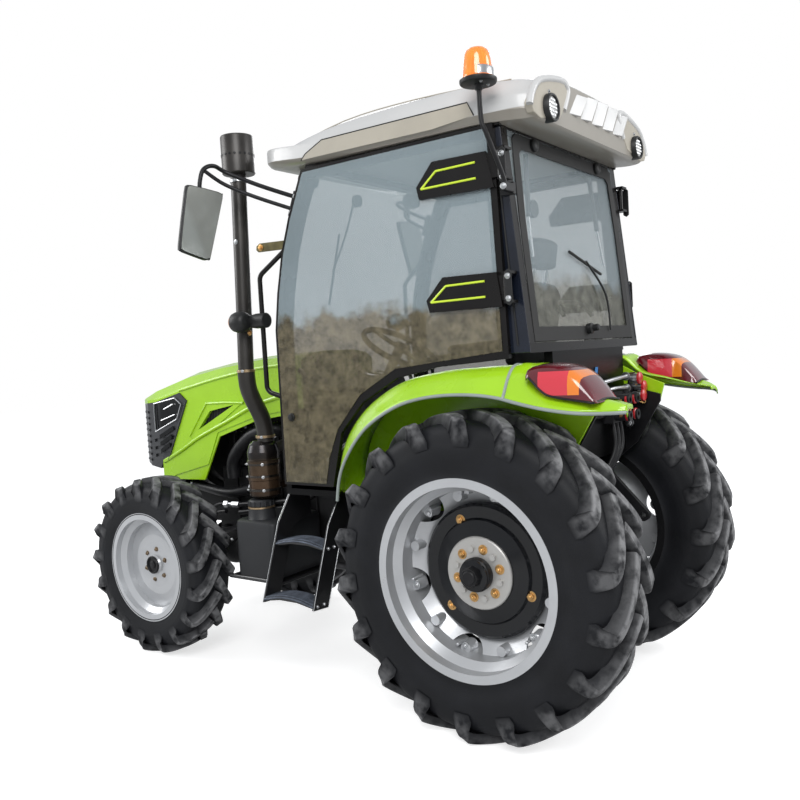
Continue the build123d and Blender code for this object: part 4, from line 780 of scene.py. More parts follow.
for n, (x, y, z, r) in enumerate(((1.23, 0.438, 1.112, 0.046), (1.22, 0.5425, 1.428, 0.0425),
        (1.22, 0.508, 2.3, 0.04))):
    stack("pipe_clamp_%d" % n, at(x, y, z), (0, 0, 1),
        [(-0.006, r - 0.004), (-0.006, r), (0.006, r), (0.006, r - 0.004)], 40, brass_clamp if n < 2 else bright_steel,
        soften=0.001)
    bolts("pipe_clamp_bolt_%d" % n, [(at(x - 0.02, y + r, z), (-0.4, 1, 0))], 0.005, bright_steel)
bolts("pipe_clip", [(at(1.215, 0.556, 2.02), (0, 1, 0))], 0.008, bright_steel)
# slots round the cap, drawn as dark discs: painted shade in the openings
for n in range(CAP_SLOTS):
    turn = 2 * math.pi * n / CAP_SLOTS
    spot = cap + Vector((math.cos(turn) * CAP_R, math.sin(turn) * CAP_R, 0.085))
    stack("cap_slot_%d" % n, spot, (math.cos(turn), math.sin(turn), 0), [(0, 0.006), (0.0012, 0.006), (0.0016, 0.004)],
        10, axle_black)


# ---------------------------------------------------------------- cab frame and glass
# Welded tube frame in brown-black paint with tinted safety glass. The wide side and rear panes
# are bonded behind a black border. The glass carries a painted sky reflection high up and a mottled brown tone low
# down.
cab_paint = surface("cab_paint", (0.006, 0.0052, 0.005), 0.26, coat=0.12, blotch=0.25, blotch_size=4,
    shine=0.25)
post_paint = surface("post_paint", (0.008, 0.011, 0.02), 0.2, coat=0.3, blotch=0.3, blotch_size=5,
    shine=0.35)
black_plastic = surface("black_plastic", (0.013, 0.0135, 0.014), 0.45, blotch=0.15, grain=0.12,
    shine=0.35)
rubber_seal = surface("rubber_seal", (0.01, 0.01, 0.01), 0.7, blotch=0.1)
dress(cab_paint, "cab_frame", "door_left", "door_right")
dress(surface("floor_paint", (0.0022, 0.0022, 0.0024), 0.3, blotch=0.4, blotch_size=9, shine=0.15),
    "cab_floor")


def sky_painted_glass(name, sky_reflection, cover, low_tint, low_cover, split_z, ragged):
    """Thin glass: a painted sky reflection high up and a mottled brown tone low down, with a ragged edge between."""
    finish, tree, shader, spot = new_finish(name)
    streaks = add(tree, "TexNoise", "Fac", Scale=7, Detail=9, Roughness=0.65, Vector=spot)
    middle = split_z + ragged * 0.5
    height = maths(tree, "MULTIPLY_ADD", streaks, ragged, part_of(tree, spot, "Z"))
    zone = ranged(tree, height, middle - 0.03, middle + 0.03)
    fine = add(tree, "TexNoise", "Fac", Scale=24, Detail=10, Roughness=0.75, Vector=spot)
    mottle = ramp(tree, [(0.38, [c * 0.45 for c in low_tint]), (0.66, [min(1, c * 1.5) for c in low_tint])], fine)
    # painted sky reflection above the ragged edge, mottled brown below it
    plug(shader, Base_Color=mixed(tree, zone, mottle, (*sky_reflection, 1)), Alpha=ranged(tree, zone, 0, 1, low_cover, cover),
        Roughness=0.03, IOR=1.5)
    finish.blend_method = "BLEND"
    return finish


door_pane = sky_painted_glass("door_pane", (0.33, 0.4, 0.43), 0.44, (0.17, 0.145, 0.09), 0.52, 1.64, 0.34)
clear_pane = sky_painted_glass("clear_pane", (0.3, 0.36, 0.38), 0.06, (0.25, 0.25, 0.22), 0.06, 1.64, 0.34)
cab_pane = sky_painted_glass("cab_glass", (0.4, 0.47, 0.5), 0.3, (0.24, 0.24, 0.2), 0.34, 1.72, 0.3)
dress(clear_pane, "door_glass_left", "door_glass_right")
dress(cab_pane, "cab_glass")
CAB_SIDE = 0.535
for side, hand in SIDES:
    # pressed cover of the rear post, blue-black between the door and the rear pane
    post = [(-0.243, 1.442), (-0.165, 2.262), (-0.1, 2.262), (-0.15, 1.442)]
    plate("rear_post_cover_" + hand, post, CAB_SIDE + 0.0005, CAB_SIDE + 0.005, post_paint, soften=0.004, side=side)
    bar("post_seam_" + hand, [at(-0.195, side * (CAB_SIDE + 0.006), 1.47), at(-0.14, side * (CAB_SIDE + 0.006), 2.24)],
        0.004, rubber_seal, sides=8)
    # rain gutter over the door
    bar("gutter_" + hand, [at(-0.17, side * 0.545, 2.268), at(0.4, side * 0.547, 2.268), at(0.76, side * 0.545, 2.272)],
        0.009, cab_paint, sides=10)

# rear pane: bonded border, struts, hinges, lock, round vent and handle
def rear_pane(y, t, off=0.0):
    """Point on the rear pane's plane: across, share of its height, and how far out."""
    return at(-0.232 + 0.066 * t - off, y, 1.476 + 0.778 * t)


outer = [(-0.487, 0.005), (0.487, 0.005), (0.487, 0.6), (0.468, 0.965), (0.44, 0.995), (-0.44, 0.995), (-0.468, 0.965),
    (-0.487, 0.6)]
inner = [(-0.44, 0.075), (0.44, 0.075), (0.44, 0.58), (0.424, 0.9), (0.4, 0.925), (-0.4, 0.925), (-0.424, 0.9),
    (-0.44, 0.58)]
points = [rear_pane(y, t, off) for off in (0.0015, 0.0065) for y, t in outer + inner]
faces = []
for k in range(8):
    a, b = k, (k + 1) % 8
    faces += [(a, b, 8 + b, 8 + a), (16 + a, 16 + b, 24 + b, 24 + a), (a, b, 16 + b, 16 + a),
        (8 + a, 8 + b, 24 + b, 24 + a)]
put("rear_border", points, faces, rubber_seal, soften=0.0015)
for n, y in enumerate((0.3, -0.3)):
    bar("pane_strut_body_%d" % n, [rear_pane(y, 0.93, -0.03), rear_pane(y * 1.1, 0.62, -0.035)], 0.01, black_plastic)
    bar("pane_strut_rod_%d" % n, [rear_pane(y * 1.1, 0.62, -0.035), rear_pane(y * 1.15, 0.42, -0.03)], 0.005,
        bright_steel)
    stack("pane_hinge_%d" % n, rear_pane(y, 0.965, 0.006), (-1, 0, 0.08),
        [(0, 0.026), (0.01, 0.026), (0.016, 0.02), (0.018, 0.012)], 24, black_plastic)
stack("pane_lock", rear_pane(0.0, 0.06, 0.006), (-1, 0, 0.08),
    [(0, 0.022), (0.02, 0.022), (0.026, 0.014), (0.045, 0.014), (0.05, 0.01)], 24, black_plastic)
stack("round_vent", rear_pane(0.3, 0.66, -0.02), (1, 0, 0), [(0, 0.034), (0.016, 0.034), (0.02, 0.026)], 28,
    black_plastic)
bar("pane_handle", [rear_pane(0.14, 0.13, -0.028), rear_pane(0.11, 0.2, -0.06), rear_pane(-0.11, 0.2, -0.06),
    rear_pane(-0.14, 0.13, -0.028)], 0.009, black_plastic)
# rear wiper with its motor
stack("wiper_motor", rear_pane(-0.22, 0.02, -0.04), (1, 0, 0), [(0, 0.04), (0.05, 0.04), (0.06, 0.03)], 24,
    black_plastic)
bar("wiper_arm", [rear_pane(-0.22, 0.05, 0.016), rear_pane(-0.2, 0.25, 0.02), rear_pane(-0.05, 0.42, 0.014)], 0.005,
    black_plastic, sides=8)
bar("wiper_blade", [rear_pane(-0.2, 0.36, 0.01), rear_pane(0.1, 0.46, 0.01)], 0.006, rubber_seal, sides=6)

# ---------------------------------------------------------------- roof
# Moulded white shell with sand-coloured insets along its sides and a sand-coloured underside, darkened
# there and on the rear face as painted shade. The rear corners swell into pods for round work lamps, with louvre steps
# between them.
WHITE_SHELL = (0.52, 0.52, 0.515)
roof_white = surface("roof_white", WHITE_SHELL, 0.36, coat=0.3, blotch=0.05, blotch_size=3)
roof_sand = surface("roof_sand", (0.38, 0.35, 0.29), 0.5, blotch=0.08, blotch_size=5, grain=0.08)


def roof_shell(name):
    """White moulding that turns a dark sand colour where it faces down, below its side edge and on its rear face: sand
    moulding underneath, with painted shade there and on the rear face.
    """
    finish = surface(name, WHITE_SHELL, 0.36, coat=0.3, blotch=0.05, blotch_size=3)
    tree, shader, spot, white = layers(finish)
    # painted shade in dark sand on the faces turned down, below the side edge and on the rear face
    above = ranged(tree, part_of(tree, spot, "Z"), 2.299, 2.302)
    upturned = ranged(tree, part_of(tree, add(tree, "NewGeometry", "Normal"), "Z"), -0.45, -0.35)
    ahead = ranged(tree, part_of(tree, spot, "X"), REAR_X - 0.3035, REAR_X - 0.3015)
    share = maths(tree, "MULTIPLY", maths(tree, "MULTIPLY", above, upturned), ahead)
    plug(shader, Base_Color=mixed(tree, share, (0.27, 0.25, 0.215, 1), white))
    return finish


# stations from the nose to the tail: forward, half width, underside, side edge, shoulder across and up, crown
ROOF = [(1.074, 0.425, 2.342, 2.358, 0.35, 2.38, 2.396), (1.045, 0.49, 2.33, 2.347, 0.41, 2.386, 2.41),
    (0.93, 0.56, 2.308, 2.328, 0.478, 2.392, 2.434), (0.76, 0.58, 2.29, 2.308, 0.5, 2.417, 2.464),
    (0.577, 0.582, 2.283, 2.303, 0.502, 2.435, 2.478), (0.22, 0.582, 2.277, 2.301, 0.502, 2.443, 2.482),
    (-0.06, 0.582, 2.274, 2.299, 0.5, 2.437, 2.48), (-0.16, 0.58, 2.268, 2.297, 0.497, 2.429, 2.474),
    (-0.225, 0.576, 2.262, 2.293, 0.492, 2.42, 2.467), (-0.268, 0.565, 2.26, 2.29, 0.484, 2.41, 2.458),
    (-0.292, 0.552, 2.262, 2.29, 0.472, 2.402, 2.45), (-0.306, 0.536, 2.268, 2.293, 0.456, 2.388, 2.436)]
rings = []
for x, half, under, edge, over_y, over_z, crown in bent(ROOF, 3):
    one = [(0, crown), (0.16, crown - 0.002), (0.3, crown - 0.008), (over_y - 0.1, over_z + 0.016),
        (over_y - 0.04, over_z + 0.009), (over_y, over_z), (over_y + 0.022, over_z - 0.01),
        (over_y + 0.038, over_z - 0.024), (half - 0.004, edge + 0.06), (half, edge + 0.05), (half, edge + 0.004),
        (half - 0.005, edge - 0.002), (half - 0.022, under + 0.004), (half - 0.04, under), (0.2, under), (0, under)]
    rings.append([at(x, y, z) for y, z in one] + [at(x, -y, z) for y, z in reversed(one[1:-1])])
shell = put("roof_moulding", [p for ring in rings for p in ring], tube_faces(len(rings), len(rings[0])),
    roof_shell("roof_shell"), "chassis", sharp=28)
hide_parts("roof")
# stepped louvres between the pods, each overlapping the next
for n, (y, z) in enumerate(((0.196, 2.42), (0.092, 2.432), (-0.016, 2.438), (-0.124, 2.438), (-0.232, 2.43))):
    quad = [(-0.3, y, z), (-0.322, y - 0.098, z - 0.004), (-0.322, y - 0.02, 2.33), (-0.3, y + 0.08, 2.33)]
    points = [at(*p) for p in quad] + [at(-0.285, p[1], p[2]) for p in quad]
    put("roof_louvre_%d" % n, points, prism(4), roof_white, soften=0.003)
for side, hand in SIDES:
    # pod: sunk sand-coloured face with the shell's lip round it
    face = [(0.486, 2.398), (0.4, 2.42), (0.29, 2.432), (0.258, 2.404), (0.3, 2.335), (0.34, 2.29), (0.5, 2.264),
        (0.552, 2.276), (0.572, 2.306), (0.53, 2.366)]
    plate("roof_pod_" + hand, [(side * y, z) for y, z in face], -0.309, -0.28, roof_sand, soften=0.004, facing="front")
    lip = [at(-0.303, side * y, z) for y, z in ((0.572, 2.3), (0.558, 2.335), (0.526, 2.374), (0.484, 2.401),
        (0.4, 2.424), (0.3, 2.438), (0.262, 2.424), (0.258, 2.398), (0.298, 2.332))]
    bar("roof_pod_lip_" + hand, lip, 0.013, roof_white, sides=14, steps=4)
lamp_clear = surface("lamp_clear", (0.62, 0.62, 0.6), 0.12, coat=1.0, blotch=0.2, blotch_size=30)
dress(black_plastic, "work_lamps")
for side, hand in SIDES:
    # inset panel along the side
    panel = [(-0.085, 2.305), (-0.06, 2.356), (0.64, 2.362), (0.735, 2.322), (0.76, 2.3), (0.1, 2.292)]
    plate("roof_inset_" + hand, panel, 0.5795, 0.5835, roof_sand, side=side)
    bar("roof_inset_line_" + hand, [at(x, side * 0.5825, z) for x, z in panel[:5]], 0.0026, black_plastic, sides=6,
        steps=1)
    # seam along the shoulder
    bar("roof_seam_" + hand, [at(-0.2, side * 0.5, 2.4245), at(0.22, side * 0.503, 2.4465),
        at(0.577, side * 0.503, 2.4405), at(0.93, side * 0.481, 2.3895)], 0.0025, roof_sand, sides=8, steps=4)
    # work lamp: bezel and clear lens with rows of small reflectors
    lamp_at = at(-0.304, side * 0.43, 2.312)
    stack("work_lamp_bezel_" + hand, lamp_at, (-1, 0, 0), [(-0.01, 0.0505), (0.022, 0.0505), (0.026, 0.048),
        (0.026, 0.042), (0.018, 0.041)], 40, black_plastic)
    stack("work_lamp_lens_" + hand, lamp_at, (-1, 0, 0),
        [(0.012, 0.041), (0.018, 0.041), (0.021, 0.034), (0.022, 0.01)], 40, lamp_clear)
    stacks("work_lamp_cells_" + hand, [(lamp_at + Vector((-0.0205, col * 0.0135, row * 0.0135)), (-1, 0, 0),
        [(0, 0.0056), (0.0016, 0.0056), (0.003, 0.003)], 12) for row in range(-2, 3) for col in range(-2, 3)
        if row * row + col * col < 7], bright_steel)
    bolts("work_lamp_bolt_" + hand, [(at(-0.3, side * 0.425, 2.372), (-1, 0, 0.2))], 0.01, bright_steel)
    # front work lamp's lens under the roof's nose
    stack("front_lamp_lens_" + hand, at(0.915, side * 0.4, 2.262), (1, 0, 0),
        [(0, 0.034), (0.003, 0.033), (0.005, 0.02)], 32, lamp_clear)
# raised hatch panel on top
hatch_rings = []
for lift, grow in ((-0.012, 0.012), (-0.002, 0.006), (0.0, 0.0)):
    hatch_rings.append([at(x, y, 2.48 + lift - 0.03 * ((x - 0.22) / 0.45) ** 2 * 0.35 - 0.05 * max(0, abs(y) - 0.2))
        for x, y in [(-0.02 - grow, -0.3 - grow), (0.22, -0.32 - grow), (0.5 + grow, -0.28 - grow), (0.53 + grow, 0),
        (0.5 + grow, 0.28 + grow), (0.22, 0.32 + grow), (-0.02 - grow, 0.3 + grow), (-0.04 - grow, 0)]])
put("roof_hatch", [p for ring in hatch_rings for p in ring], tube_faces(3, 8), roof_white)

# ---------------------------------------------------------------- doors
# Glass doors in a thin black frame, hung at the rear post on two hinges under moulded covers
# that bear yellow-green lines. The latch sits at the front edge.
lime_line = surface("lime_line", (0.62, 0.8, 0.04), 0.35, coat=0.3, blotch=0.05)
DOOR_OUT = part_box("door_left")[1].y
for side, hand in SIDES:
    body = "cab_door_" + hand
    face_y = side * 0.58
    for tag, z, near, far in (("upper", 2.108, -0.078, 0.105), ("lower", 1.678, -0.092, 0.088)):
        top, bottom = z + 0.032, z - 0.026
        stops = [(near, top), (far - 0.012, top - 0.002), (far + 0.058, bottom), (near, bottom + 0.001)]
        for n, (a, b) in enumerate(zip(stops, stops[1:])):
            bar("cover_line_%s_%s_%d" % (tag, hand, n), [at(a[0], face_y, a[1]), at(b[0], face_y, b[1])], 0.0042,
                lime_line, body, sides=8)
        # bracket on the rear post that carries the hinge pin, with its bolts
        bracket = [(-0.21, z - 0.056), (-0.21, z + 0.056), (-0.198, z + 0.066), (-0.182, z + 0.056),
            (-0.182, z - 0.056), (-0.198, z - 0.066)]
        plate("hinge_bracket_%s_%s" % (tag, hand), bracket, 0.59, 0.596, black_plastic,
            soften=0.003, side=side)
        bolts("hinge_bolts_%s_%s" % (tag, hand), [(at(-0.196, side * 0.596, z + 0.04), (0, side, 0)),
            (at(-0.196, side * 0.596, z - 0.04), (0, side, 0))], 0.0075, bright_steel)
    # the pane covers the frame to its edge; latch and pull handle at the front
    skin = [(0.986, 0.925), (0.981, 1.602), (0.956, 1.758), (0.917, 1.925), (0.862, 2.074), (0.776, 2.256),
        (-0.12, 2.256), (-0.142, 1.452)]
    arch_edge = [over_tyre(0.226, 93.0), over_tyre(0.228, 80.0), over_tyre(0.24, 66.0), over_tyre(0.25, 52.0),
        over_tyre(0.24, 39.0), over_tyre(0.215, 30.0)]
    skin += [p for p in arch_edge if p[1] < 1.452] + [(0.752, 0.925)]
    plate("door_skin_" + hand, skin, 0.5615, 0.564, door_pane, body, soften=0, side=side)
    stack("door_lock_" + hand, at(0.925, side * (DOOR_OUT - 0.019), 1.215), (0, side, 0), [(0, 0.017), (0.006, 0.017),
        (0.008, 0.014), (0.014, 0.013), (0.015, 0.008)], 24, black_plastic, body)
    bar("door_pull_" + hand, [at(0.9, side * 0.535, 1.16), at(0.885, side * 0.505, 1.2), at(0.885, side * 0.505, 1.38),
        at(0.9, side * 0.535, 1.42)], 0.01, black_plastic, body)
    bar("door_stay_" + hand, [at(0.76, side * 0.535, 1.02), at(0.63, side * 0.51, 1.12), at(0.5, side * 0.48, 1.22)],
        0.008, bright_steel, body)

# ---------------------------------------------------------------- grab rails and turn lamps
# Rounded lamp housings clamped to the rails in front of the doors, each with an amber lens that
# faces forward, and the brass-coloured stay that steadies the exhaust pipe.
amber_lens = surface("amber_lens", (0.85, 0.28, 0.02), 0.15, coat=0.9, blotch=0.1, blotch_size=30)
for side, hand in SIDES:
    ball = [(0, 0.028), (0.006, 0.037), (0.018, 0.044), (0.036, 0.048), (0.058, 0.048), (0.076, 0.043), (0.08, 0.04)]
    stack("turn_lamp_" + hand, at(1.125, side * 0.604, 1.65), (1, 0, 0), ball, 36, black_plastic)
    stack("turn_lens_" + hand, at(1.204, side * 0.604, 1.65), (1, 0, 0),
        [(0, 0.039), (0.006, 0.037), (0.012, 0.028), (0.014, 0.01)], 32, amber_lens)
    stack("turn_socket_" + hand, at(1.04, side * 0.566, 1.65), (1, 0, 0),
        [(0, 0.03), (0.004, 0.034), (0.06, 0.034), (0.088, 0.03)], 28, black_plastic)
    bolts("turn_lamp_bolt_" + hand, [(at(1.15, side * 0.57, 1.6), (0, side, 0))], 0.008, zinc_gold)
olive_steel = surface("olive_steel", (0.1, 0.085, 0.035), 0.35, metal=0.7, blotch=0.3, blotch_size=30)
plate("exhaust_stay", [(0.925, 1.952), (0.925, 1.99), (1.075, 1.996), (1.095, 1.985), (1.098, 1.968), (1.085, 1.957)],
    0.54, 0.546, olive_steel)
bolts("exhaust_stay_bolt", [(at(1.068, 0.546, 1.976), (0, 1, 0))], 0.01, zinc_gold)


# ---------------------------------------------------------------- beacon
# Turning beacon on a bent black stalk clamped to the rear post: a translucent amber dome over a
# bright reflector, on a black foot with two screws.
def clear_amber(name):
    """Translucent amber plastic."""
    finish = surface(name, (0.95, 0.24, 0.02), 0.12, coat=0.8, blotch=0.12, blotch_size=12, grain=0.02)
    plug(finish.node_tree.nodes["Principled BSDF"], Subsurface_Weight=0.35, Subsurface_Radius=(0.02, 0.006, 0.002),
        Emission_Color=(1.0, 0.26, 0.03, 1), Emission_Strength=0.1)
    return finish


BEACON = (-0.156, 0.662)
dome_rings = [(0, 0.0535), (0.004, 0.055), (0.01, 0.0535), (0.03, 0.051), (0.06, 0.0475), (0.082, 0.044),
    (0.094, 0.039), (0.102, 0.03), (0.106, 0.018), (0.107, 0.006)]
foot = at(BEACON[0], BEACON[1], 2.3975)
dome = stack("beacon_dome", foot, (0, 0, 1), dome_rings, 48, clear_amber("beacon_amber"), "chassis",
    sharp=60)
stack("beacon_foot", at(BEACON[0], BEACON[1], 2.38), (0, 0, 1), [(0, 0.058), (0.002, 0.063), (0.007, 0.0655),
    (0.015, 0.0655), (0.018, 0.06)], 48, black_plastic)
# bright reflector that shows in the dome's foot, on the side away from the lamp
points = []
for k in range(13):
    a = math.radians(120 + k * 9)
    for r, z in ((0.0548, 0.004), (0.0556, 0.03), (0.053, 0.034)):
        points.append(foot + Vector((math.cos(a) * r, math.sin(a) * r, z)))
put("beacon_reflector", points, row_faces(13, 3), bright_steel)
bar("beacon_stalk", [at(-0.204, 0.602, 2.02), at(-0.204, 0.603, 2.06), at(-0.17, 0.65, 2.215), at(-0.158, 0.659, 2.26),
    at(-0.156, 0.66, 2.382)], 0.009, axle_black, steps=5)
stack("beacon_stalk_collar", at(-0.156, 0.66, 2.36), (0, 0, 1), [(0, 0.011), (0.004, 0.014), (0.02, 0.016)], 20,
    axle_black)
plate("beacon_clamp", [(-0.216, 2.008), (-0.216, 2.052), (-0.163, 2.052), (-0.163, 2.008)], 0.5355, 0.5555, axle_black,
    soften=0.003)
plate("beacon_arm", [(-0.216, 2.014), (-0.216, 2.046), (-0.196, 2.046), (-0.196, 2.014)], 0.55, 0.612, axle_black,
    soften=0.003)
bolts("beacon_clamp_bolts", [(at(-0.206, 0.612, 2.03), (0, 1, 0))], 0.008, bright_steel)
bolts("beacon_screws", [(at(-0.182, 0.69, 2.381), (0, 0, -1)), (at(-0.18, 0.636, 2.381), (0, 0, -1))], 0.005,
    bright_steel)
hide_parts("beacon")

# ---------------------------------------------------------------- mirrors
# Black moulded heads with a bonded glass, on two bent tube arms that meet at a bracket on the
# front post and swing out past the exhaust.
mirror_glass = surface("mirror_glass", (0.4, 0.41, 0.385), 0.12, metal=0.3, coat=0.6, blotch=0.15,
    blotch_size=3, grain=0.0)
HEAD = [(0.79, 1.9165), (0.903, 1.943), (0.918, 1.955), (0.9205, 1.975), (0.868, 2.205), (0.857, 2.226), (0.835, 2.234),
    (0.688, 2.224), (0.668, 2.214), (0.664, 2.195), (0.752, 1.945), (0.764, 1.922)]
for side, hand in SIDES:
    middle = (0.795, 2.072)
    rings = []
    for grow, depth in ((0.93, 0.0), (0.985, 0.003), (1.0, 0.01), (0.985, 0.02), (0.9, 0.03), (0.72, 0.0345)):
        rings.append([at(1.16 + depth, side * (middle[0] + (y - middle[0]) * grow), middle[1] + (z - middle[1]) * grow)
            for y, z in bent(HEAD + HEAD[:1], 2)[:-1]])
    count = len(rings[0])
    shell = put("mirror_shell_" + hand, [p for ring in rings for p in ring], tube_faces(len(rings), count),
        black_plastic, sharp=50)
    pane = [at(1.1588, side * (middle[0] + (y - middle[0]) * 0.945), middle[1] + (z - middle[1]) * 0.96)
        for y, z in bent(HEAD + HEAD[:1], 2)[:-1]]
    back = [p + Vector((0.002, 0, 0)) for p in pane]
    put("mirror_pane_" + hand, pane + back, prism(count), mirror_glass)
    upper = [at(0.872, side * 0.52, 2.175), at(1.02, side * 0.575, 2.24), at(1.15, side * 0.64, 2.308),
        at(1.168, side * 0.7, 2.333), at(1.172, side * 0.755, 2.312), at(1.176, side * 0.776, 2.262),
        at(1.182, side * 0.78, 2.2)]
    lower = [at(0.872, side * 0.52, 2.118), at(1.03, side * 0.6, 2.19), at(1.13, side * 0.68, 2.25),
        at(1.172, side * 0.75, 2.305)]
    bar("mirror_arm_upper_" + hand, upper, 0.0095, axle_black)
    bar("mirror_arm_lower_" + hand, lower, 0.0085, axle_black)
    foot = [(0.878, 2.085), (0.905, 2.095), (0.862, 2.198), (0.836, 2.185)]
    plate("mirror_bracket_" + hand, foot, 0.497, 0.532, axle_black, soften=0.003, side=side)
    bolts("mirror_bracket_bolts_" + hand, [(at(0.886, side * 0.532, 2.108), (0, side, 0)),
        (at(0.856, side * 0.532, 2.172), (0, side, 0))], 0.007, bright_steel)
    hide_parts("mirror_" + hand)

# ---------------------------------------------------------------- steps
# Cheek plates in black paint, with painted highlights drawn as thin bright lines along their edges, and
# pressed treads bolted between them. The treads are arched and ribbed so that a boot grips.
tread_grey = surface("tread_grey", (0.085, 0.1, 0.13), 0.42, metal=0.6, blotch=0.4, blotch_size=30, grain=0.2,
    dust=0.2)
step_black = surface("step_black", (0.01, 0.01, 0.011), 0.3, coat=0.4, blotch=0.2)
dress(step_black, "step_left", "step_right")
for side, hand in SIDES:
    for x in (0.76, 1.062):
        # painted highlight: thin bright bars along the edges of the black cheek plates
        run = [(0.47, 0.862), (0.56, 0.738), (0.686, 0.4), (0.59, 0.392), (0.47, 0.7)]
        for n, (a, b) in enumerate(zip(run, run[1:])):
            bar("step_edge_%s_%d_%d" % (hand, round(x * 1000), n), [at(x, side * a[0], a[1]), at(x, side * b[0], b[1])],
                0.0016, bright_steel, slot="black_paint", sides=6)
    for tag, low_y, high_y, z in (("low", 0.597, 0.679, 0.404), ("high", 0.509, 0.587, 0.634)):
        arch = [(0.765, z + 0.015), (0.861, z + 0.035), (0.96, z + 0.035), (1.057, z + 0.015)]
        for n in range(7):
            y = low_y + (high_y - low_y) * (n + 0.5) / 7
            points = []
            for x, up in bent(arch, 6):
                points += [at(x, side * (y - 0.0038), up - 0.001), at(x, side * (y - 0.0022), up + 0.0045),
                    at(x, side * (y + 0.0022), up + 0.0045), at(x, side * (y + 0.0038), up - 0.001)]
            put("tread_rib_%s_%s_%d" % (tag, hand, n), points, tube_faces(len(points) // 4, 4, caps=False), tread_grey)
        lip = [at(x, side * (high_y + 0.001), up - 0.007) for x, up in bent(arch, 4)]
        bar("tread_lip_%s_%s" % (tag, hand), lip, 0.005, tread_grey, sides=8, steps=1)
        bolts("tread_bolts_%s_%s" % (tag, hand), [(at(0.7595, side * (low_y + 0.02), z + 0.008), (-1, 0, 0)),
            (at(0.7595, side * (high_y - 0.02), z + 0.008), (-1, 0, 0))], 0.006, bright_steel)

# ---------------------------------------------------------------- fuel tank and side box
# Rotomoulded tank in charcoal plastic with rounded corners and a wide filler neck under a locking
# cap. It sits on a folded steel shelf. A tool box of the same look stands on the other side.
tank_plastic = surface("tank_plastic", (0.02, 0.021, 0.023), 0.45, blotch=0.15, grain=0.15, shine=0.35)
dress(tank_plastic, "side_box")


def rounded(low_x, high_x, low_y, high_y, corner):
    """Rounded rectangle seen from above."""
    run = []
    for cx, cy, start in ((high_x - corner, high_y - corner, 0), (low_x + corner, high_y - corner, 90),
            (low_x + corner, low_y + corner, 180), (high_x - corner, low_y + corner, 270)):
        for k in range(7):
            a = math.radians(start + 15 * k)
            run.append((cx + corner * math.cos(a), cy + corner * math.sin(a)))
    return run


rings = []
for z, inset in ((0.452, 0.01), (0.455, 0.003), (0.462, 0.0), (0.7, 0.0), (0.714, 0.003), (0.722, 0.012),
        (0.724, 0.026)):
    rings.append([at(x, y, z) for x, y in rounded(1.108 + inset, 1.372 - inset, 0.208 + inset, 0.548 - inset, 0.036)])
tank = put("tank_body", [p for ring in rings for p in ring], tube_faces(len(rings), len(rings[0])), tank_plastic)
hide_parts("fuel_tank")
neck = at(1.262, 0.462, 0.72)
cap_ribs = [neck + Vector((math.cos(a) * 0.06, math.sin(a) * 0.06, 0.064))
    for a in (2 * math.pi * k / 14 for k in range(14))]
stacks("tank_neck", [(neck, (0, 0, 1), [(0, 0.07), (0.006, 0.066), (0.05, 0.062), (0.06, 0.06)], 44),
    (neck, (0, 0, 1), [(0.06, 0.056), (0.064, 0.06), (0.086, 0.06), (0.094, 0.054), (0.096, 0.04)], 44)]
    + [(rib, (0, 0, 1), [(0, 0.0045), (0.02, 0.0045), (0.024, 0.003)], 8) for rib in cap_ribs], tank_plastic)
stack("tank_neck_ring", neck + Vector((0, 0, 0.057)), (0, 0, 1),
    [(-0.004, 0.06), (-0.003, 0.0645), (0.004, 0.0645), (0.005, 0.06)], 44, brass_clamp)
# folded shelf with a rolled lip, on two brackets
plate("tank_shelf", [(1.082, 0.434), (1.082, 0.449), (1.426, 0.449), (1.426, 0.434)], 0.205, 0.545, step_black,
    soften=0.003)
bar("shelf_lip", [at(1.085, 0.54, 0.445), at(1.423, 0.54, 0.445)], 0.011, step_black, sides=14)
for x in (1.15, 1.33):
    plate("shelf_bracket_%d" % round(x * 1000), [(x - 0.02, 0.434), (x + 0.02, 0.434), (x + 0.02, 0.478),
        (x - 0.02, 0.478)], 0.151, 0.21, step_black, soften=0.002)
# lid seam and latch of the tool box
for n, z in enumerate((0.69, 0.7)):
    bar("box_seam_%d" % n, [at(1.112, -0.5225, z), at(1.398, -0.5225, z)], 0.0022, axle_black, slot="black_plastic",
        sides=6)
plate("box_latch", [(1.23, 0.668), (1.23, 0.716), (1.282, 0.716), (1.282, 0.668)], -0.53, -0.522, bright_steel)
bar("box_handle", [at(1.19, -0.522, 0.6), at(1.2, -0.531, 0.6), at(1.31, -0.531, 0.6), at(1.32, -0.522, 0.6)], 0.006,
    step_black, sides=10)


# ---------------------------------------------------------------- engine, axles and frame
# Cast engine, gearbox and axle housings in dark machine paint, bolted end to end. The engine bay
# shows its block, hoses and pump; the front axle pivots in a cast frame.
engine_black = surface("engine_black", (0.014, 0.014, 0.015), 0.5, metal=0.2, blotch=0.4,
    blotch_size=14, grain=0.4, grain_size=160, shine=0.35)
cast_black = surface("cast_black", (0.009, 0.009, 0.01), 0.45, blotch=0.35, blotch_size=10, grain=0.35,
    grain_size=180, dust=0.06, shine=0.3)
hose_rubber = surface("hose_rubber", (0.008, 0.008, 0.009), 0.4, blotch=0.3, blotch_size=30, grain=0.2,
    shine=0.35)
radiator_fins = surface("radiator_fins", (0.03, 0.031, 0.033), 0.45, metal=0.5, blotch=0.2)
dress(engine_black, "engine_block", "transmission")
dress(cast_black, "rear_axle_housing", "front_axle", "front_frame", "knuckle_left", "knuckle_right")
dress(radiator_fins, "radiator")
shaft_grey = surface("shaft_grey", (0.12, 0.12, 0.125), 0.35, metal=0.8, blotch=0.3, blotch_size=30)
dress(shaft_grey, "drive_shaft", "steering_rod", "pto_shaft")

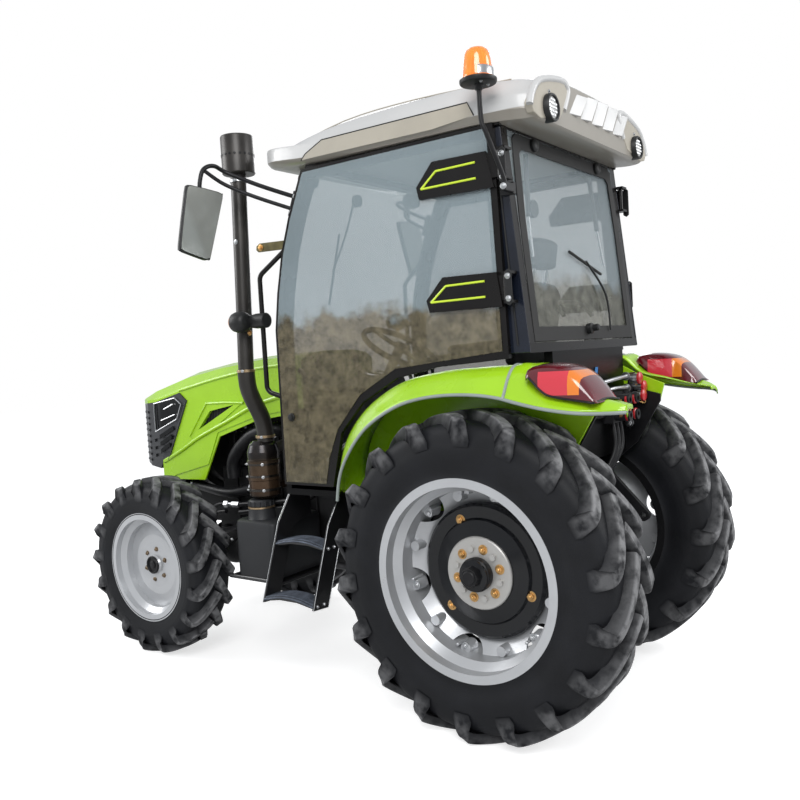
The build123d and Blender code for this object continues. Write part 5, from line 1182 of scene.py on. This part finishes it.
# head cover with its bolts and oil filler, then ribs, bolts and filters on the block
head = [(1.2, 1.138), (1.205, 1.168), (1.225, 1.18), (1.8, 1.18), (1.825, 1.168), (1.83, 1.138)]
plate("head_cover", head, -0.105, 0.105, cast_black, soften=0.008)
for n in range(4):
    x = 1.275 + n * 0.155
    bolts("head_bolts_%d" % n, [(at(x, 0.08, 1.18), (0, 0, 1)), (at(x, -0.08, 1.18), (0, 0, 1))], 0.009, bright_steel)
stack("oil_filler", at(1.7, 0, 1.18), (0, 0, 1), [(0, 0.03), (0.02, 0.03), (0.026, 0.024)], 24, black_plastic)
for side, hand in SIDES:
    for n in range(4):
        x = 1.26 + n * 0.165
        plate("block_rib_%s_%d" % (hand, n), [(x - 0.008, 0.62), (x - 0.008, 1.1), (x + 0.008, 1.1), (x + 0.008, 0.62)],
            0.149, 0.162, engine_black, soften=0.003, side=side)
    bolts("block_bolts_" + hand, [(at(1.26 + n * 0.0825, side * 0.15, z), (0, side, 0)) for n in range(8)
        for z in (0.5, 1.125)], 0.007, bright_steel)
    stack("oil_filter_" + hand, at(1.48, side * 0.205, 0.7), (0, 0, 1),
        [(0, 0.04), (0.006, 0.046), (0.1, 0.046), (0.108, 0.04)], 32, cast_black)
# injection pump and its lines, and the fan shroud and crank pulley behind the radiator
stacks("injection_pump", [
    (at(1.42, 0.175, 0.9), (1, 0, 0), [(0, 0.035), (0.01, 0.05), (0.16, 0.05), (0.18, 0.035)], 28),
    (at(1.5, 0.175, 0.93), (0, 0, 1), [(0, 0.03), (0.06, 0.028), (0.07, 0.02)], 20)], shaft_grey)
for n in range(4):
    bar("fuel_line_%d" % n, [at(1.46 + n * 0.025, 0.175, 0.99), at(1.44 + n * 0.045, 0.19, 1.06),
        at(1.35 + n * 0.13, 0.15, 1.12), at(1.34 + n * 0.13, 0.11, 1.15)], 0.0032, bright_steel, sides=8, steps=5)
stack("fan_shroud", at(1.93, 0, 0.985), (1, 0, 0), [(0, 0.185), (0.05, 0.195), (0.055, 0.225), (0.145, 0.228)], 40,
    black_plastic)
stack("crank_pulley", at(1.9, 0, 0.8), (1, 0, 0), [(0, 0.075), (0.008, 0.078), (0.014, 0.07), (0.02, 0.078),
    (0.028, 0.075)], 36, shaft_grey)
# air and coolant hoses on the left, seen under the bonnet's edge
bar("coolant_hose_low", [at(1.62, 0.17, 0.8), at(1.74, 0.215, 0.775), at(1.9, 0.215, 0.79), at(2.07, 0.19, 0.81)],
    0.026, hose_rubber, sides=18)
bar("coolant_hose_top", [at(1.8, 0.09, 1.185), at(1.93, 0.13, 1.205), at(2.07, 0.15, 1.195)], 0.024, hose_rubber,
    sides=18)
bar("air_hose", [at(1.36, 0.16, 1.1), at(1.41, 0.215, 1.12), at(1.55, 0.225, 1.085), at(1.7, 0.215, 0.965),
    at(1.72, 0.205, 0.86)], 0.036, hose_rubber, sides=20)
bar("exhaust_branch", [at(1.3, 0.165, 1.04), at(1.285, 0.28, 1.045), at(1.262, 0.37, 1.02)], 0.03, pipe_black, sides=20)
for n, (x, y, z) in enumerate(((1.62, 0.17, 0.8), (2.06, 0.19, 0.809))):
    stack("hose_clip_%d" % n, at(x, y, z), (1, 0.2, 0), [(0, 0.0275), (0, 0.03), (0.012, 0.03), (0.012, 0.0275)], 28,
        bright_steel)
# hydraulic fitting and hoses that run along the frame to the front axle
way = Vector((1, 0.03, -0.02)).normalized()
stacks("hydraulic_fitting", [
    (at(1.69 + far, 0.212 + far * 0.03, 0.714 - far * 0.02), way, [(0, radius), (length, radius)], sides)
    for far, length, radius, sides in ((0, 0.05, 0.017, 6), (0.05, 0.03, 0.013, 20), (0.08, 0.028, 0.02, 6))],
    bright_steel)
for n, z in enumerate((0.714, 0.672)):
    bar("steering_hose_%d" % n, [at(1.16, 0.196, 0.79), at(1.34, 0.2, 0.752 - n * 0.03), at(1.69, 0.212, z)], 0.013,
        hose_rubber)
    bar("steering_hose_front_%d" % n, [at(1.795, 0.214, z), at(1.86, 0.214, z - 0.012), at(1.92, 0.206, z - 0.045)],
        0.012, hose_rubber)
# front axle: bolts and pivot cap
for side, hand in SIDES:
    knuckle = "steering_knuckle_" + hand
    bolts("knuckle_bolts_" + hand, [(at(1.922, side * 0.404, 0.545), (0, 0, 1))], 0.01, bright_steel, knuckle)
    bolts("axle_bolts_" + hand, [(at(1.845 + n * 0.05, side * 0.24, 0.462), (0, 0, 1)) for n in range(4)], 0.007,
        bright_steel)
stack("axle_pivot_cap", at(2.08, 0, 0.5), (1, 0, 0), [(0, 0.05), (0.006, 0.05), (0.01, 0.044)], 30, shaft_grey)
# bolts of the gearbox and the seams between its castings
bolts("gearbox_bolts", [(at(0.5 + n * 0.11, side * 0.19, 0.8), (0, side, 0)) for n in range(6) for side in (1, -1)],
    0.009, bright_steel)
for x in (0.345, 0.75, 1.15):
    for side, tag in ((1, ""), (-1, "right_")):
        bar("gearbox_seam_%s%d" % (tag, round(x * 1000)), [at(x, side * 0.191, 0.36), at(x, side * 0.191, 0.83)], 0.006,
            cast_black, sides=8)
for side, hand in SIDES:
    bolts("axle_flange_bolts_" + hand, [(at(0.095 * math.cos(a), side * 0.395, REAR_R + 0.095 * math.sin(a)),
        (0, side, 0)) for a in (math.radians(20 + 40 * k) for k in range(9))], 0.009, bright_steel)

# ---------------------------------------------------------------- seat, wheel and controls
# Sprung seat with black vinyl cushions over foam, blown up by a short cloth simulation so that they
# crown between their seams. The wheel has a thick rim on three spokes, over a moulded dash.
dash_plastic = surface("dash_plastic", (0.03, 0.031, 0.033), 0.55, blotch=0.15, grain=0.3)
dress(dash_plastic, "cab_interior")


def seat_cloth(name):
    """Black vinyl with fine leather grain."""
    finish = surface(name, (0.028, 0.029, 0.032), 0.5, blotch=0.2, blotch_size=12, grain=0.5,
        grain_size=520)
    tree, _, spot, _ = layers(finish)
    plug(tree.nodes["Bump"], Height=add(tree, "TexVoronoi", "Distance", Scale=380, Vector=spot))
    return finish


seat_vinyl = seat_cloth("seat_vinyl")
CLOTH_GRID, CLOTH_PRESSURE, CLOTH_FRAMES = 0.007, 4, 20


def cushion(name, centre, size, lean, swell, crown):
    """Stuffed cushion: a rounded block, blown up as cloth so that it crowns."""
    mesh = bpy.data.meshes.new(name)
    shape = bmesh.new()
    bmesh.ops.create_cube(shape, size=1)
    bmesh.ops.subdivide_edges(shape, edges=shape.edges, cuts=5, use_grid_fill=True)
    tilt = Matrix.Rotation(math.radians(lean), 4, "Y")
    for v in shape.verts:
        u = v.co * 2
        # the edges of the block are drawn in a little at their middles
        pull = 1 - 0.1 * u.y * u.y * (abs(u.x) > 0.99) - 0.05 * u.x * u.x * (abs(u.y) > 0.99)
        v.co = Vector((u.x * size[0] / 2 * pull, u.y * size[1] / 2 * pull,
            u.z * size[2] / 2 * (1 - 0.25 * max(abs(u.x), abs(u.y)) ** 4)
            + crown * (1 - u.x * u.x) * (1 - u.y * u.y) * max(0, u.z)))
    bmesh.ops.transform(shape, matrix=Matrix.Translation(centre) @ tilt, verts=shape.verts)
    shape.to_mesh(mesh)
    shape.free()
    pad = bpy.data.objects.new(name, mesh)
    scene.collection.objects.link(pad)
    rebuild = pad.modifiers.new("rebuild", "REMESH")
    rebuild.mode = "VOXEL"
    rebuild.voxel_size = CLOTH_GRID
    bpy.context.view_layer.update()
    pad.data = bpy.data.meshes.new_from_object(pad.evaluated_get(bpy.context.evaluated_depsgraph_get()))
    pad.modifiers.clear()
    start = [v.co.copy() for v in pad.data.vertices]
    cloth = pad.modifiers.new("cloth", "CLOTH")
    cloth.settings.use_pressure = True
    cloth.settings.uniform_pressure_force = CLOTH_PRESSURE
    cloth.settings.effector_weights.gravity = 0
    cloth.point_cache.frame_start, cloth.point_cache.frame_end = 1, CLOTH_FRAMES
    for step in range(1, CLOTH_FRAMES + 1):
        scene.frame_set(step)
    blown = pad.evaluated_get(bpy.context.evaluated_depsgraph_get()).to_mesh()
    moved = [v.co.copy() for v in blown.vertices]
    pad.modifiers.clear()
    scene.frame_set(1)
    for v, old, new in zip(pad.data.vertices, start, moved):
        shift = new - old
        v.co = old + (shift if shift.length < swell else shift.normalized() * swell)
    soft = pad.modifiers.new("soft", "SUBSURF")
    soft.levels = soft.render_levels = 1
    pad.data.materials.clear()
    pad.data.materials.append(seat_vinyl)
    pad.data.shade_smooth()
    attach(pad, "chassis")
    return pad


seat_pad = cushion("seat_cushion", at(0.215, 0, 1.262), (0.42, 0.43, 0.085), -4, 0.008, 0.01)
cushion("seat_back", at(0.012, 0, 1.545), (0.075, 0.4, 0.4), -8, 0.008, 0.0)
cushion("seat_headrest", at(-0.04, 0, 1.85), (0.06, 0.23, 0.13), -8, 0.006, 0.0)
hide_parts("seat")
for side, hand in SIDES:
    bar("headrest_post_" + hand, [at(-0.02, side * 0.06, 1.72), at(-0.036, side * 0.06, 1.8)], 0.007, bright_steel)
for side, hand in SIDES:
    # piping along the cushions' seams
    bar("seat_piping_" + hand, [at(0.02, side * 0.213, 1.262), at(0.2, side * 0.217, 1.275),
        at(0.4, side * 0.21, 1.285)], 0.0045, black_plastic, slot="seat_cloth", sides=8)
    bar("armrest_post_" + hand, [at(0.01, side * 0.2155, 1.42), at(0.06, side * 0.228, 1.46)], 0.012, axle_black)
    rest = [(0.02, 1.452), (0.02, 1.492), (0.06, 1.5), (0.3, 1.488), (0.315, 1.47), (0.3, 1.455)]
    plate("armrest_" + hand, rest, 0.196, 0.232, seat_vinyl, soften=0.008, side=side)
# bellows round the seat's suspension
bellows_points = []
rings = [(1.012 + 0.018 * k, 0.0 if k % 2 else 0.01) for k in range(10)]
for z, grow in rings:
    bellows_points += [at(x, y, z) for x, y in rounded(0.03 - grow, 0.35 + grow, -0.145 - grow, 0.145 + grow, 0.03)]
put("seat_bellows", bellows_points, tube_faces(len(rings), len(bellows_points) // len(rings)), hose_rubber, sharp=20)
# horn button, grips under the rim, gauges, levers and pedals
GRIPS, GRIP_R = 24, 0.185
WHEEL_TILT = math.radians(32.5)
wheel_at = at(0.728, 0, 1.492)
tilt_way = Vector((-math.sin(WHEEL_TILT), 0, math.cos(WHEEL_TILT)))
down_way = Vector((math.cos(WHEEL_TILT), 0, math.sin(WHEEL_TILT)))
stack("horn_button", wheel_at + tilt_way * 0.004, tilt_way, [(0, 0.04), (0.012, 0.038), (0.02, 0.028), (0.022, 0.01)],
    30, black_plastic)
for n in range(GRIPS):
    a = 2 * math.pi * n / GRIPS
    place = wheel_at + (down_way * math.cos(a) + Vector((0, 1, 0)) * math.sin(a)) * GRIP_R - tilt_way * 0.014
    stack("rim_grip_%d" % n, place, tilt_way, [(-0.001, 0.004), (0.001, 0.005), (0.003, 0.004)], 8, dash_plastic)
gauge_face = surface("gauge_face", (0.02, 0.03, 0.05), 0.2, coat=0.8, blotch=0.3, blotch_size=30)
for y in (-0.09, 0.0, 0.09):
    stack("gauge_%d" % round(100 + y * 100), at(0.845, y, 1.372), (-0.35, 0, 0.94),
        [(0, 0.036), (0.006, 0.036), (0.008, 0.031), (0.004, 0.029)], 28, gauge_face)
for n, (x, y, z, tilt, knob) in enumerate(((0.42, -0.3, 1.3, 0.05, 0.017), (0.36, -0.36, 1.26, -0.03, 0.015),
        (0.3, -0.42, 1.24, 0.02, 0.015), (0.5, 0.28, 1.22, 0.04, 0.015), (0.66, -0.25, 1.34, -0.05, 0.014))):
    bar("lever_%d" % n, [at(x, y, 0.895), at(x + tilt * 0.3, y, 1.08), at(x + tilt, y, z)], 0.006, bright_steel,
        sides=10)
    stack("lever_knob_%d" % n, at(x + tilt, y, z - 0.012), (0, 0, 1), [(0, knob * 0.6), (0.006, knob * 0.9),
        (0.018, knob), (0.03, knob * 0.8), (0.036, knob * 0.4)], 18, black_plastic)
for n, y in enumerate((0.17, -0.15, -0.24)):
    plate("pedal_%d" % n, [(0.85, 0.935), (0.866, 1.015), (0.874, 1.012), (0.858, 0.932)], y - 0.035, y + 0.035,
        dash_plastic, soften=0.003)
    bar("pedal_arm_%d" % n, [at(0.868, y, 0.975), at(0.905, y, 1.02), at(0.915, y, 1.16)], 0.008, axle_black, sides=10)
# wing consoles over the wheel arches
for side, hand in SIDES:
    console = [(-0.14, 1.012), (-0.14, 1.235), (0.3, 1.225), (0.42, 1.17), (0.45, 1.012)]
    plate("console_" + hand, console, 0.262, 0.345, dash_plastic, soften=0.01, side=side)

# ---------------------------------------------------------------- rear hitch, couplers and drive
# Cast lift arms on a splined shaft, a drawbar with its pin hole, a guarded power take-off, and
# red-capped oil couplers on a bracket under the rear window.
dress(cast_black, "lift_arms", "drawbar", "remote_couplers")
cap_red = surface("cap_red", (0.42, 0.012, 0.016), 0.35, coat=0.4, blotch=0.2, blotch_size=40)
for side, hand in SIDES:
    bolts("lift_arm_pin_" + hand, [(at(-0.35, side * 0.252, 0.712), (0, side, 0))], 0.012, bright_steel, "hitch_arms")
    stack("lift_shaft_cap_" + hand, at(-0.15, side * 0.25, 0.89), (0, side, 0),
        [(0, 0.034), (0.008, 0.034), (0.012, 0.028)], 28, shaft_grey, "hitch_arms")
guard_points = []
for k in range(15):
    a = math.radians(-15 + k * 15)
    for r, x in ((0.105, -0.3), (0.108, -0.33), (0.11, -0.33), (0.107, -0.3)):
        guard_points.append(at(x, r * math.cos(a), 0.565 + r * math.sin(a)))
put("pto_guard", guard_points, tube_faces(15, 4, caps=False), axle_black)
bolts("housing_bolts", [(at(-0.302, y, z), (-1, 0, 0)) for y in (-0.15, 0.15) for z in (0.47, 0.62, 0.77)], 0.01,
    bright_steel)
bolts("drawbar_bolts", [(at(-0.12, y, 0.398), (0, 0, 1)) for y in (-0.03, 0.03)], 0.01, bright_steel)
for n, (y, z) in enumerate(((-0.135, 1.152), (-0.135, 1.217), (-0.225, 1.152), (-0.225, 1.217))):
    stack("coupler_cap_%d" % n, at(-0.33, y, z), (-1, 0, 0),
        [(0, 0.019), (0.003, 0.024), (0.01, 0.024), (0.014, 0.018), (0.02, 0.01)], 24, cap_red)
    stack("coupler_ring_%d" % n, at(-0.318, y, z), (-1, 0, 0),
        [(-0.012, 0.0205), (-0.01, 0.0225), (0.002, 0.0225), (0.004, 0.0205)], 24, zinc_gold)
# two bright feed pipes that cross to the outer couplers, which carry red caps on short chains
for n, (z, drop) in enumerate(((1.3, 0.0), (1.262, 0.012))):
    bar("feed_pipe_%d" % n, [at(-0.262, 0.02 - n * 0.05, z - 0.01), at(-0.285, -0.12, z + 0.004),
        at(-0.3, -0.255, z - drop + 0.012)], 0.0085, bright_steel, sides=12)
    bolts("feed_nut_%d" % n, [(at(-0.296, -0.235, z - drop + 0.011), (0, -1, 0.05))], 0.013, bright_steel)
for n, (x, y, z) in enumerate(((-0.312, -0.288, 1.3), (-0.318, -0.322, 1.262), (-0.322, -0.3, 1.225))):
    stack("outer_coupler_%d" % n, at(x + 0.02, y, z), (-1, 0, 0),
        [(0, 0.017), (0.02, 0.017), (0.022, 0.021), (0.04, 0.021)], 22, bright_steel)
    stack("outer_cap_%d" % n, at(x - 0.018, y, z), (-1, 0, 0),
        [(0, 0.021), (0.003, 0.026), (0.012, 0.026), (0.018, 0.016)], 24, cap_red)
    bar("cap_chain_%d" % n, [at(x - 0.022, y - 0.022, z), at(x - 0.02, y - 0.03, z - 0.035),
        at(x, y - 0.012, z - 0.028)], 0.0028, zinc_gold, sides=8)
plate("coupler_bracket", [(-0.3, 1.195), (-0.3, 1.325), (-0.292, 1.325), (-0.292, 1.195)], -0.342, -0.262, axle_black)
# hoses from the couplers down to the lift valve
for n, y in enumerate((-0.145, -0.185, -0.225)):
    bar("rear_hose_%d" % n, [at(-0.262, y, 1.13), at(-0.275, y + 0.01, 1.02), at(-0.255, y * 0.7, 0.94),
        at(-0.22, y * 0.5, 0.9)], 0.01, hose_rubber)
# blue tag on the tail wall, trailer socket and cable harness
tag_blue = surface("tag_blue", (0.01, 0.16, 0.42), 0.4, blotch=0.2)
plate("blue_tag", [(-0.02, 1.318), (-0.034, 1.362), (-0.058, 1.362), (-0.044, 1.318)], -0.247, -0.2425, tag_blue,
    facing="front")
stack("trailer_socket", at(-0.24, 0.2, 1.18), (-1, 0, 0),
    [(0, 0.03), (0.02, 0.03), (0.024, 0.034), (0.04, 0.034), (0.044, 0.028)], 28, black_plastic)
for n, (y0, y1, z0, z1) in enumerate(((0.3, 0.05, 1.38, 1.34), (0.22, -0.2, 1.21, 1.16))):
    bar("tail_harness_%d" % n, [at(-0.2445, y0, z0), at(-0.252, (y0 + y1) / 2, (z0 + z1) / 2 - 0.03),
        at(-0.2445, y1, z1)], 0.006, hose_rubber, sides=8)

# ---------------------------------------------------------------- front wiper
# The windscreen wiper hangs from a motor over the pane. Its thin black arm leans towards the
# driver's left and ends in a rubber blade.
stack("front_wiper_motor", at(0.945, 0.0, 2.225), (1, 0, 0.1), [(-0.02, 0.03), (0.0, 0.03), (0.008, 0.02)], 24,
    black_plastic)
bar("front_wiper_arm", [at(0.958, 0.0, 2.215), at(0.985, 0.05, 2.05), at(1.0, 0.14, 1.88)], 0.005, black_plastic,
    sides=8)
bar("front_wiper_blade", [at(0.978, 0.1, 2.06), at(1.01, 0.17, 1.72)], 0.006, rubber_seal, sides=6)
